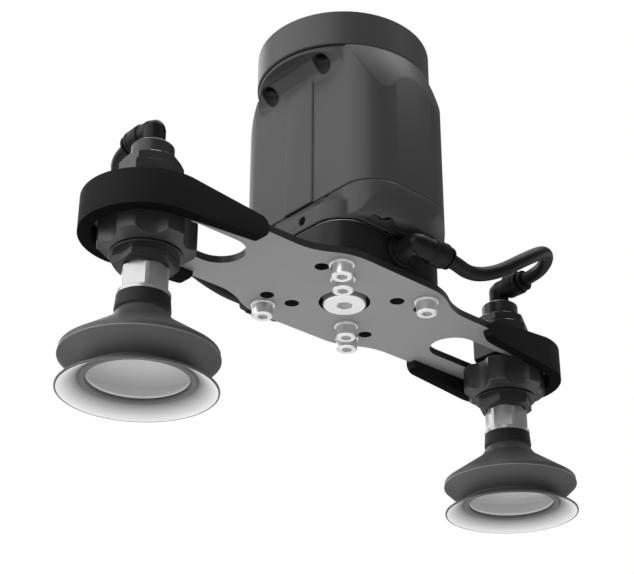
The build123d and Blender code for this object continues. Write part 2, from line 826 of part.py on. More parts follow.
# Lock nut above it
with BuildPart() as lock_nut:
    with BuildSketch(Plane.XY.offset(z_clamp_top)):
        with Locations((cup_x, 0)):
            RegularPolygon(lock_nut_across / 2, 6, major_radius=False, rotation=hex_turn)
            Circle(stem_cap_radius - 1, mode=Mode.SUBTRACT)
    extrude(amount=lock_nut_height)
    chamfer(lock_nut.faces().sort_by(Axis.Z)[-1].outer_wire().edges(), chamfer_size)
save_pair(lock_nut.part, "lock_nut")

# Cap of the stem, which takes the elbow's thread
with BuildPart() as stem_cap:
    with Locations((cup_x, 0, z_nut_top)):
        Cylinder(stem_cap_radius, stem_cap_height, align=(Align.CENTER, Align.CENTER, Align.MIN))
    chamfer(stem_cap.faces().sort_by(Axis.Z)[-1].edges(), chamfer_size)
    with BuildSketch(Plane.XY.offset(z_nut_top)):
        with Locations((cup_x, 0)):
            Circle(top_thread_radius + running_clearance)
    extrude(amount=stem_cap_height, mode=Mode.SUBTRACT)
save_pair(stem_cap.part, "stem_cap")

# Hollow stem through the plate's slot, with its flange and wrench hexagon underneath
with BuildPart() as cup_stem:
    with Locations((cup_x, 0, z_stem_flange)):
        Cylinder(stem_radius, z_clamp_top - z_stem_flange,
                 align=(Align.CENTER, Align.CENTER, Align.MIN))
        Cylinder(stem_flange_radius, stem_flange_height,
                 align=(Align.CENTER, Align.CENTER, Align.MAX))
    with Locations((cup_x, 0, z_clamp_top)):
        Cylinder(stem_cap_radius - 1 - running_clearance, lock_nut_height,
                 align=(Align.CENTER, Align.CENTER, Align.MIN))
    with BuildSketch(Plane.XY.offset(z_stem_low)):
        with Locations((cup_x, 0)):
            RegularPolygon(stem_hex_across / 2, 6, major_radius=False, rotation=hex_turn)
    extrude(amount=stem_hex_height)
    chamfer(cup_stem.faces().sort_by(Axis.Z)[0].edges(), chamfer_size)
    with BuildSketch(Plane.XY.offset(z_stem_low)):
        with Locations((cup_x, 0)):
            Circle(stem_bore)
    extrude(amount=z_nut_top - z_stem_low, mode=Mode.SUBTRACT)
    with BuildSketch(Plane.XY.offset(z_stem_low)):
        with Locations((cup_x, 0)):
            Circle(fitting_thread_radius + running_clearance)
    extrude(amount=fitting_thread_length, mode=Mode.SUBTRACT)
save_pair(cup_stem.part, "cup_stem")

# Thrust washer between knob and plate
with BuildPart() as thrust_washer:
    with BuildSketch(Plane.XY.offset(z_thrust)):
        with Locations((cup_x, 0)):
            Circle(thrust_radius)
            Circle(stem_radius + running_clearance, mode=Mode.SUBTRACT)
    extrude(amount=thrust_thickness)
save_pair(thrust_washer.part, "thrust_washer")

# Clamp knob: six lobes between round scallops, tapering below
with BuildPart() as clamp_knob:
    with BuildSketch(Plane.XZ):
        with BuildLine():
            Polyline((0, z_knob_top), (knob_radius, z_knob_top),
                     (knob_radius, z_knob_top - knob_straight),
                     (knob_nose_radius, z_knob_low), (0, z_knob_low), close=True)
        make_face()
    revolve(axis=Axis.Z)
    with BuildSketch(Plane.XY.offset(z_knob_top)):
        with PolarLocations(scallop_circle, knob_lobes):
            Circle(scallop_radius)
    extrude(amount=-scallop_straight, mode=Mode.SUBTRACT)
    with Locations([place * Pos(0, 0, z_knob_top - scallop_straight)
                    for place in PolarLocations(scallop_circle, knob_lobes).locations]):
        Sphere(scallop_radius, mode=Mode.SUBTRACT)
    with BuildSketch(Plane.XY.offset(z_knob_low)):
        Circle(stem_radius + running_clearance)
    extrude(amount=knob_drop, mode=Mode.SUBTRACT)
save_pair(Pos(cup_x, 0, 0) * clamp_knob.part, "clamp_knob")

# Metal fitting that carries the cup
with BuildPart() as cup_fitting:
    with BuildSketch(Plane.XY.offset(z_fitting_low)):
        with Locations((cup_x, 0)):
            RegularPolygon(fitting_across / 2, 6, major_radius=False)
            Circle(fitting_corner_radius, mode=Mode.INTERSECT)
    extrude(amount=fitting_height - fitting_groove_height)
    with Locations((cup_x, 0, z_fitting_low)):
        Cylinder(fitting_flange_radius, fitting_flange_height,
                 align=(Align.CENTER, Align.CENTER, Align.MIN))
        Cylinder(fitting_spigot_radius, fitting_spigot_length,
                 align=(Align.CENTER, Align.CENTER, Align.MAX))
    with Locations((cup_x, 0, z_stem_low)):
        Cylinder(fitting_groove_radius, fitting_groove_height,
                 align=(Align.CENTER, Align.CENTER, Align.MAX))
        Cylinder(fitting_thread_radius, fitting_thread_length - 1,
                 align=(Align.CENTER, Align.CENTER, Align.MIN))
    with BuildSketch(Plane.XY.offset(z_fitting_low - fitting_spigot_length)):
        with Locations((cup_x, 0)):
            Circle(fitting_bore)
    extrude(amount=fitting_height + fitting_spigot_length + fitting_thread_length,
            mode=Mode.SUBTRACT)
    with BuildSketch(Plane.XY.offset(z_fitting_low - fitting_spigot_length)):
        with Locations((cup_x, 0)):
            Circle(filter_radius)
    extrude(amount=filter_height, mode=Mode.SUBTRACT)
save_pair(cup_fitting.part, "cup_fitting")

# Filter disc in the fitting's mouth
with BuildPart() as cup_filter:
    with BuildSketch(Plane.XY.offset(z_fitting_low - fitting_spigot_length)):
        with Locations((cup_x, 0)):
            Circle(filter_radius)
    extrude(amount=filter_height)
save_pair(cup_filter.part, "cup_filter")

# Bellows: a thick neck, a hollow cone out to a round rim, and a cone back to the valley
with BuildPart() as bellows:
    with BuildSketch(Plane.XZ) as bellows_profile:
        with BuildLine():
            Polyline((fitting_spigot_radius + seat_gap, z_fitting_low),
                     (neck_radius, z_fitting_low), (neck_low_radius, z_neck_low),
                     (cup_radius, z_cup_rim + cup_rim_height), (cup_radius, z_cup_rim),
                     (cup_valley_radius, z_valley), (cup_opening_radius, z_valley),
                     (cup_opening_radius, z_valley + cup_wall / 2),
                     (cup_fold_radius, z_cup_rim + cup_rim_height / 2),
                     (neck_low_radius - cup_wall, z_neck_low - cup_wall),
                     (fitting_spigot_radius + seat_gap, z_neck_low - cup_wall), close=True)
        make_face()
        fillet(bellows_profile.vertices().group_by(Axis.X)[-1], cup_rim_round)
    revolve(axis=Axis.Z)
save_pair(Pos(cup_x, 0, 0) * bellows.part, "bellows")

# Lip: a softer ring bonded under the bellows, with a bead inside and a thin flared edge
with BuildPart() as cup_lip:
    with BuildSketch(Plane.XZ):
        with BuildLine():
            Polyline((cup_opening_radius, z_valley), (cup_valley_radius, z_valley),
                     (cup_valley_radius + 0.4, z_valley - 1.0),
                     (lip_radius, z_lip + lip_edge), (lip_radius, z_lip),
                     (lip_radius - lip_edge, z_lip), (bead_radius, z_valley - bead_height),
                     (cup_opening_radius, z_valley - bead_height), close=True)
        make_face()
    revolve(axis=Axis.Z)
save_pair(Pos(cup_x, 0, 0) * cup_lip.part, "cup_lip")

# Top elbows and their collars
top_elbow_place = Pos(cup_x, 0, z_top_elbow)
top_elbow_shape = push_in_elbow(top_elbow_rise - seat_gap, top_elbow_reach, elbow_base_radius,
                                top_thread_radius, top_thread_length, -hose_stop)
save_pair(top_elbow_place * top_elbow_shape, "top_elbow")
save_pair(top_elbow_place * release_collar(top_elbow_reach), "top_collar")

# Hoses: straight runs joined by arcs as large as the runs allow
corners = [Vector(*point) for point in hose_route]
hose_arc_radii = []
for before, here, after in zip(corners, corners[1:], corners[2:]):
    turn = (here - before).get_angle(after - here)
    shorter = min((here - before).length, (after - here).length)
    hose_arc_radii.append(0.45 * shorter / tan(radians(turn / 2)))
with BuildPart() as hose:
    with BuildLine() as hose_line:
        FilletPolyline(*hose_route, radius=hose_arc_radii)
    with BuildSketch(Plane(origin=hose_route[0], z_dir=(1, 0, 0))):
        Circle(hose_radius)
        Circle(hose_bore, mode=Mode.SUBTRACT)
    sweep()
save_pair(hose.part, "hose")
hose_length = sum(edge.length for edge in hose_line.edges())
hose_section = pi * (hose_radius ** 2 - hose_bore ** 2)
print("hose length", round(hose_length, 1), "radii", [round(r, 1) for r in hose_arc_radii])
print("hose volume", round(hose.part.volume, 1), "section x length",
      round(hose_section * hose_length, 1))

# Chassis of the pump: a plate on four pillars that stand on the cap's floor
z_board = z_body_top - deck_thickness - board_clearance
z_motor_top = z_board - board_thickness
z_chassis = z_motor_top - motor_height
z_pump_top = z_chassis - chassis_thickness
with BuildPart() as pump_chassis:
    with BuildSketch(Plane.XY.offset(z_pump_top)):
        RectangleRounded(chassis_width, chassis_depth, 3)
        with Locations((0, motor_y)):
            Circle(rod_eye_radius / 2, mode=Mode.SUBTRACT)
    extrude(amount=chassis_thickness)
    with BuildSketch(Plane.XY.offset(z_cap_floor)):
        with GridLocations(2 * pillar_x, 2 * pillar_y, 2, 2):
            Circle(pillar_radius)
    extrude(amount=z_motor_top - z_cap_floor)
save(pump_chassis.part, "pump_chassis")

# Control board over the motor, with a few components
with BuildPart() as control_board:
    with BuildSketch(Plane.XY.offset(z_motor_top)):
        RectangleRounded(board_width, board_depth, 2)
    extrude(amount=board_thickness)
    with Locations((*chip_place, z_board)):
        Box(chip_size, chip_size, chip_height, align=(Align.CENTER, Align.CENTER, Align.MIN))
    with Locations((*capacitor_place, z_board)):
        Cylinder(capacitor_radius, capacitor_height,
                 align=(Align.CENTER, Align.CENTER, Align.MIN))
    with Locations((*plug_place, z_board)):
        Box(plug_width, plug_depth, plug_height, align=(Align.CENTER, Align.CENTER, Align.MIN))
save(control_board.part, "control_board")

# Motor can
with BuildPart() as pump_motor:
    with Locations((0, motor_y, z_chassis)):
        Cylinder(motor_radius, motor_height, align=(Align.CENTER, Align.CENTER, Align.MIN))
    chamfer(pump_motor.faces().sort_by(Axis.Z)[-1].edges(), edge_break)
    with BuildSketch(Plane.XY.offset(z_chassis)):
        with Locations((0, motor_y)):
            Circle(motor_bore)
    extrude(amount=motor_height - 4, mode=Mode.SUBTRACT)
save(pump_motor.part, "pump_motor")

# Motor shaft with its eccentric hub
z_eccentric = z_pump_top - eccentric_drop
with BuildPart() as motor_shaft:
    with Locations((0, motor_y, z_chassis + motor_height - 5)):
        Cylinder(shaft_radius, motor_height - 5 + shaft_out,
                 align=(Align.CENTER, Align.CENTER, Align.MAX))
    with Locations((0, motor_y + eccentric_offset, z_eccentric)):
        Cylinder(eccentric_radius, eccentric_height)
save(motor_shaft.part, "motor_shaft")

# Connecting rod from the eccentric to the diaphragm
with BuildPart() as connecting_rod:
    with BuildSketch(Plane.XY.offset(z_eccentric - rod_height / 2)):
        with Locations((0, motor_y + eccentric_offset)):
            Circle(rod_eye_radius)
        with Locations((0, diaphragm_y + rod_tip_thickness)):
            Rectangle(rod_shank_width, motor_y - diaphragm_y - rod_tip_thickness,
                      align=(Align.CENTER, Align.MIN))
        with Locations((0, motor_y + eccentric_offset)):
            Circle(eccentric_radius + running_clearance, mode=Mode.SUBTRACT)
    extrude(amount=rod_height)
    with BuildSketch(Plane.XZ.offset(-diaphragm_y)):
        with Locations((0, z_eccentric)):
            Circle(rod_tip_radius)
    extrude(amount=-rod_tip_thickness)
save(connecting_rod.part, "connecting_rod")

# Pump cylinder, which guides the rod's tip and clamps the diaphragm
pump_drop = z_pump_top - seat_gap - z_eccentric
with BuildPart() as pump_cylinder:
    with BuildSketch(Plane.XZ.offset(-diaphragm_y - cylinder_length)):
        with Locations((0, z_eccentric)):
            Rectangle(pump_width, 2 * pump_drop)
            Circle(pump_bore, mode=Mode.SUBTRACT)
    extrude(amount=cylinder_length)
save(pump_cylinder.part, "pump_cylinder")

# Diaphragm between cylinder and valve plate
with BuildPart() as diaphragm:
    with BuildSketch(Plane.XZ.offset(-diaphragm_y)):
        with Locations((0, z_eccentric)):
            Circle(diaphragm_radius)
    extrude(amount=diaphragm_thickness)
save(diaphragm.part, "diaphragm")

# Valve plate with the pumping chamber and its two valve ports
y_valve_plate = -diaphragm_y + diaphragm_thickness
with BuildPart() as valve_plate:
    with BuildSketch(Plane.XZ.offset(y_valve_plate)):
        with Locations((0, z_eccentric)):
            Rectangle(pump_width, 2 * pump_drop)
    extrude(amount=valve_plate_thickness)
    with BuildSketch(Plane.XZ.offset(y_valve_plate)):
        with Locations((0, z_eccentric)):
            Circle(pump_bore)
    extrude(amount=chamber_depth, mode=Mode.SUBTRACT)
    with BuildSketch(Plane.XZ.offset(y_valve_plate)):
        with Locations((-valve_offset, z_eccentric), (valve_offset, z_eccentric)):
            Circle(valve_radius / 2)
    extrude(amount=valve_plate_thickness, mode=Mode.SUBTRACT)
save(valve_plate.part, "valve_plate")

# Pump head, with a link down to the cap's channel
y_head = y_valve_plate + valve_plate_thickness
y_link = diaphragm_y - diaphragm_thickness - valve_plate_thickness - head_length / 2
with BuildPart() as pump_head:
    with BuildSketch(Plane.XZ.offset(y_head)):
        with Locations((0, z_eccentric)):
            RectangleRounded(pump_width, 2 * pump_drop, 2)
    extrude(amount=head_length)
    with Locations((0, y_link, z_cap_floor + seat_gap)):
        Cylinder(link_radius, z_eccentric - z_cap_floor - seat_gap,
                 align=(Align.CENTER, Align.CENTER, Align.MIN))
    with BuildSketch(Plane.XY.offset(z_cap_floor)):
        with Locations((0, y_link)):
            Circle(link_bore)
    extrude(amount=z_eccentric - z_cap_floor, mode=Mode.SUBTRACT)
    with BuildSketch(Plane.XZ.offset(y_head)):
        with Locations((-valve_offset, z_eccentric), (valve_offset, z_eccentric)):
            Circle(valve_radius)
    extrude(amount=head_length / 2, mode=Mode.SUBTRACT)
save(pump_head.part, "pump_head")

# Check valve over the cap's centre channel, and the vent valve beside it
with BuildPart() as check_valve:
    with Locations((0, 0, z_cap_floor)):
        Cylinder(check_radius, check_height, align=(Align.CENTER, Align.CENTER, Align.MIN))
    chamfer(check_valve.faces().sort_by(Axis.Z)[-1].edges(), edge_break)
    with BuildSketch(Plane.XY.offset(z_cap_floor)):
        Circle(link_bore)
    extrude(amount=check_height, mode=Mode.SUBTRACT)
save(check_valve.part, "check_valve")

with BuildPart() as vent_valve:
    with Locations((vent_x, vent_y, z_cap_floor)):
        Box(vent_width, vent_depth, vent_height - vent_coil_height,
            align=(Align.CENTER, Align.CENTER, Align.MIN))
    with Locations((vent_x, vent_y, z_cap_floor + vent_height)):
        Cylinder(vent_coil_radius, vent_coil_height,
                 align=(Align.CENTER, Align.CENTER, Align.MAX))
save(vent_valve.part, "vent_valve")
print("levels", z_plate, z_lip, z_eccentric, z_pump_top, z_chassis)
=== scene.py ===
"""Looks of the vacuum gripper: camera, light, finishes and the pieces that replace plain solids."""

import json
import logging
import math
from dataclasses import dataclass, field
from enum import Enum
from typing import Iterable, Optional, Sequence, Union

import bmesh
import bpy
from mathutils import Matrix, Vector

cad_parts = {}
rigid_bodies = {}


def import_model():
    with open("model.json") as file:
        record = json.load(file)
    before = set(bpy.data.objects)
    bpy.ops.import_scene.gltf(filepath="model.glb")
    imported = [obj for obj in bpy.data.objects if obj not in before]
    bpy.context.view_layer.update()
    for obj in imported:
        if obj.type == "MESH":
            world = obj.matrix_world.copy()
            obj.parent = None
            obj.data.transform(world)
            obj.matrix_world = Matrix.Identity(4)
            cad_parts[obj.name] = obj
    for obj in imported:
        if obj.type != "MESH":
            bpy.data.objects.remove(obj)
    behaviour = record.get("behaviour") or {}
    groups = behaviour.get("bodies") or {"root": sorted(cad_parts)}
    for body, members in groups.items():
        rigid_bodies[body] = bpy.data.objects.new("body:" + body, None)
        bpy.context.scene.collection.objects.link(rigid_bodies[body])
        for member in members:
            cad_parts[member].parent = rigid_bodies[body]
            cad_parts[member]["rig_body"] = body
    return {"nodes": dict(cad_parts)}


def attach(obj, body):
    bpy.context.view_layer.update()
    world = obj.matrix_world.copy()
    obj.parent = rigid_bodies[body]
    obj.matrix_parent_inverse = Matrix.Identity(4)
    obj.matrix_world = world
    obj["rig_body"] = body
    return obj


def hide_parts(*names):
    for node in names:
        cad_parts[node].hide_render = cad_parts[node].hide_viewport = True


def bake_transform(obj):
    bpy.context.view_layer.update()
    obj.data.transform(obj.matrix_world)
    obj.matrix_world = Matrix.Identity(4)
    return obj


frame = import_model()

LOG = logging.getLogger("gripper")
MM = 0.001
# The cup's axis at rest, the height of the elbow on top of it, and the elbow on the block, in
# millimetres. The left side is the same turned half round.
CUP_X = 97.6
CUP_PORT_Z = -79.1
BLOCK_PORT_Y = -41.0
BLOCK_PORT_Z = -107.5
# Points closer than this, in metres, are one point.
WELD = 2e-6
WELD_SPUN = 1e-7
UP = Vector((0, 0, 1))
Number = Union[int, float]
Colour = tuple[float, float, float]


class Side(Enum):
    """The two cups; the left one is the right one turned half round about Z."""

    RIGHT = "right"
    LEFT = "left"

    @property
    def turn(self) -> Matrix:
        """Give the turn that takes right-hand geometry to this side."""
        return Matrix.Rotation(0.0 if self is Side.RIGHT else math.pi, 4, "Z")

    def node(self, name: str) -> str:
        """Give the name of this side's node."""
        return f"{name}_{self.value}"


class Pattern(Enum):
    """Whether a finish's grain lies anyhow or is drawn out one way."""

    GRAIN = "grain"
    BRUSHED = "brushed"

    @property
    def stretch(self) -> tuple[float, float, float]:
        """Give the scale of the grain along each axis."""
        return (0.06, 1.0, 1.0) if self is Pattern.BRUSHED else (1.0, 1.0, 1.0)


def tone(level: Number) -> Colour:
    """Turn a display grey into a linear colour, by the curve that screens use.

    Args:
        level: Grey from 0 to 255, as it shows on a screen.

    Returns:
        The linear red, green and blue.
    """
    share = level / 255
    linear = share / 12.92 if share <= 0.04045 else ((share + 0.055) / 1.055) ** 2.4
    return (linear, linear, linear)


class Wire:
    """A node socket that can be used in sums, differences, products and powers."""

    def __init__(self, graph: "Graph", socket: bpy.types.NodeSocket) -> None:
        """Hold the socket and the graph that it belongs to."""
        self.graph = graph
        self.socket = socket

    def _math(self, operation: str, first: "Wire | Number", second: "Wire | Number") -> "Wire":
        """Add one Math node and give its result."""
        return self.graph.node("ShaderNodeMath", {"operation": operation}, {0: first, 1: second})

    def __add__(self, other: "Wire | Number") -> "Wire":
        """Add a value."""
        return self._math("ADD", self, other)

    def __radd__(self, other: "Wire | Number") -> "Wire":
        """Add to a value."""
        return self._math("ADD", other, self)

    def __sub__(self, other: "Wire | Number") -> "Wire":
        """Subtract a value."""
        return self._math("SUBTRACT", self, other)

    def __rsub__(self, other: "Wire | Number") -> "Wire":
        """Subtract from a value."""
        return self._math("SUBTRACT", other, self)

    def __mul__(self, other: "Wire | Number") -> "Wire":
        """Multiply by a value."""
        return self._math("MULTIPLY", self, other)

    def __pow__(self, other: "Wire | Number") -> "Wire":
        """Raise to a power."""
        return self._math("POWER", self, other)


class Graph:
    """The node tree of one material."""

    NOISE_ROUGHNESS = 0.55

    def __init__(self, name: str) -> None:
        """Start a material with only its output and surface shader."""
        self.material = bpy.data.materials.new(name)
        self.material.use_nodes = True
        self.tree = self.material.node_tree
        self.shader = self.tree.nodes["Principled BSDF"]

    def node(
        self,
        kind: str,
        settings: Optional[dict] = None,
        inputs: Optional[dict] = None,
        output: Union[int, str] = 0,
    ) -> Wire:
        """Add a node.

        Args:
            kind: The node's type name.
            settings: Its own settings, set first. "stops" gives a ramp's positions and greys.
            inputs: Values or wires for its sockets, by name or index.
            output: Which output to give.

        Returns:
            The chosen output as a wire.
        """
        made = self.tree.nodes.new(kind)
        for key, value in (settings or {}).items():
            if key == "stops":
                self._set_stops(made.color_ramp, value)
            else:
                setattr(made, key, value)
        for key, value in (inputs or {}).items():
            self.feed(made.inputs[key], value)
        return Wire(self, made.outputs[output])

    def _set_stops(self, ramp: bpy.types.ColorRamp, stops: Sequence[tuple[float, float]]) -> None:
        """Set a ramp's stops.

        Args:
            ramp: The ramp.
            stops: Pairs of place and grey, both from 0 to 1.
        """
        while len(ramp.elements) < len(stops):
            ramp.elements.new(0.5)
        for element, (place, grey) in zip(ramp.elements, stops):
            element.position = place
            element.color = (grey, grey, grey, 1)

    def feed(self, socket: bpy.types.NodeSocket, value: object) -> None:
        """Link a wire to a socket, or set the socket's own value.

        Args:
            socket: The socket.
            value: A wire, a colour or a plain value.
        """
        if isinstance(value, Wire):
            self.tree.links.new(value.socket, socket)
        elif isinstance(value, tuple) and len(value) == 3 and socket.type == "RGBA":
            socket.default_value = (*value, 1)
        else:
            socket.default_value = value

    def surface(self, **inputs: object) -> None:
        """Feed the surface shader's sockets, with underscores for spaces."""
        for key, value in inputs.items():
            self.feed(self.shader.inputs[key.replace("_", " ")], value)

    def place(self, scale: tuple[float, float, float] = (1, 1, 1)) -> Wire:
        """Give the piece's own coordinates, stretched by a scale."""
        here = self.node("ShaderNodeTexCoord", output="Object")
        return self.node("ShaderNodeMapping", inputs={"Vector": here, "Scale": scale})

    def noise(self, size: float, detail: float = 2.0, where: Optional[Wire] = None) -> Wire:
        """Give a noise from about 0 to 1.

        Args:
            size: How far across its spots are, in metres.
            detail: How many finer layers it has.
            where: The coordinates it is read at, the piece's own if none are given.

        Returns:
            The noise.
        """
        return self.node("ShaderNodeTexNoise", inputs={
            "Vector": where or self.place(), "Scale": 1 / size, "Detail": detail,
            "Roughness": self.NOISE_ROUGHNESS,
        })

    def shade(self, colour: "Wire | Colour", factor: Wire) -> Wire:
        """Multiply a colour by a grey factor."""
        return self.node(
            "ShaderNodeMix",
            {"data_type": "RGBA", "blend_type": "MULTIPLY"},
            {0: 1.0, 6: colour, 7: factor},
            output=2,
        )

    def mix(self, factor: Wire, first: "Wire | Colour", second: "Wire | Colour") -> Wire:
        """Mix two colours."""
        return self.node(
            "ShaderNodeMix", {"data_type": "RGBA"}, {0: factor, 6: first, 7: second}, output=2
        )


@dataclass(frozen=True)
class Finish:
    """One finish: a colour with uneven tone, a grain and, where asked for, lighter edges that are
    partly wear and partly a painted highlight.

    Sizes are in metres. mottle and grain are the broad and the fine unevenness, edge_round is how
    far edges are rounded in the shading alone, and the edge weight is how strongly edges show their
    lighter tone, which stands for wear and a painted highlight.
    """

    name: str
    colour: Colour
    roughness: float
    metallic: float = 0.0
    specular: float = 0.5
    pattern: Pattern = Pattern.GRAIN
    mottle: float = 0.08
    mottle_size: float = 14 * MM
    grain: float = 0.02 * MM
    grain_size: float = 0.5 * MM
    edge_round: float = 0.0
    edge_wear_and_highlight: float = 0.0
    worn_and_highlight_tone: float = 150
    worn_width: float = 0.5 * MM
    worn_spot: float = 3 * MM
    worn_cover: float = 1.2
    worn_turn: float = 0.08
    fine_to_grain: float = 3.0
    patch_to_mottle: float = 0.6
    grain_in_roughness: float = 0.25
    patches_in_roughness: float = 0.2

    def material(self) -> bpy.types.Material:
        """Give the finish as a material, made once."""
        known = bpy.data.materials.get(self.name)
        return known or self._build()

    def _grain_place(self, graph: Graph) -> Wire:
        """Give the coordinates of the grain, drawn out along X on a brushed surface."""
        return graph.place(self.pattern.stretch)

    def _tone_factor(self, graph: Graph) -> Wire:
        """Give the factor by which the colour varies.

        Args:
            graph: The material's nodes.

        Returns:
            A factor round 1.
        """
        broad = graph.noise(self.mottle_size, 3.0)
        fine_size = self.grain_size * self.fine_to_grain
        fine = graph.noise(fine_size, 2.0, self._grain_place(graph))
        return 1 + (broad - 0.5) * (2 * self.mottle) + (fine - 0.5) * self.mottle

    def colouring(self, graph: Graph) -> Wire:
        """Give the surface colour."""
        return graph.shade(self.colour, self._tone_factor(graph))

    def _edge_mask(self, graph: Graph) -> Wire:
        """Give a mask that is 1 along edges, broken up by a noise.

        Args:
            graph: The material's nodes.

        Returns:
            The mask, from 0 to 1.
        """
        flat = graph.node("ShaderNodeNewGeometry", output="Normal")
        rounded = graph.node("ShaderNodeBevel", {"samples": 4}, {"Radius": self.worn_width})
        match = graph.node(
            "ShaderNodeVectorMath", {"operation": "DOT_PRODUCT"}, {0: flat, 1: rounded}, "Value"
        )
        stops = [(0.0, 0.0), (self.worn_turn, 1.0)]
        edge = graph.node("ShaderNodeValToRGB", {"stops": stops}, {0: 1 - match})
        return graph.node(
            "ShaderNodeMath",
            {"operation": "MULTIPLY", "use_clamp": True},
            {0: edge, 1: self.worn_cover - graph.noise(self.worn_spot, 3.0)},
        )

    def _build(self) -> bpy.types.Material:
        """Build the nodes.

        Returns:
            The new material.
        """
        graph = Graph(self.name)
        grain = graph.noise(self.grain_size, 3.0, self._grain_place(graph))
        colour = self.colouring(graph)
        rough = self.roughness + (grain - 0.5) * (self.grain_in_roughness * self.roughness)
        patches = graph.noise(self.mottle_size * self.patch_to_mottle) - 0.5
        rough = rough + patches * (self.patches_in_roughness * self.roughness)
        # Edges are mixed towards a lighter tone, partly wear and partly a painted highlight.
        if self.edge_wear_and_highlight:
            worn_and_highlight = self._edge_mask(graph) * self.edge_wear_and_highlight
            colour = graph.mix(worn_and_highlight, colour, tone(self.worn_and_highlight_tone))
        normal: dict = {"Height": grain, "Strength": 1.0, "Distance": self.grain}
        if self.edge_round:
            normal["Normal"] = graph.node(
                "ShaderNodeBevel", {"samples": 6}, {"Radius": self.edge_round}
            )
        graph.surface(
            Base_Color=colour,
            Roughness=rough,
            Metallic=self.metallic,
            Specular_IOR_Level=self.specular,
            Normal=graph.node("ShaderNodeBump", inputs=normal),
        )
        return graph.material


@dataclass(frozen=True)
class PaintedLightLipFinish(Finish):
    """Soft silicone of the lip: pale inside, with painted light that grows paler outwards, darker
    at the bead.
    """

    inner_radius: float = 20.4 * MM
    outer_radius: float = 28.3 * MM
    inner_tone: float = 88
    outer_tone: float = 240

    def colouring(self, graph: Graph) -> Wire:
        """Give a tone that grows with the distance from the cup's axis, on both sides alike.

        Args:
            graph: The material's nodes.

        Returns:
            The colour.
        """
        x, y = (
            graph.node("ShaderNodeSeparateXYZ", inputs={0: graph.place()}, output=axis)
            for axis in ("X", "Y")
        )
        away = graph.node("ShaderNodeMath", {"operation": "ABSOLUTE"}, {0: x}) - CUP_X * MM
        radius = (away * away + y * y) ** 0.5
        width = self.outer_radius - self.inner_radius
        share = graph.node(
            "ShaderNodeMath",
            {"operation": "MULTIPLY", "use_clamp": True},
            {0: radius - self.inner_radius, 1: 1 / width},
        )
        colour = graph.mix(share, tone(self.inner_tone), tone(self.outer_tone))
        return graph.shade(colour, self._tone_factor(graph))


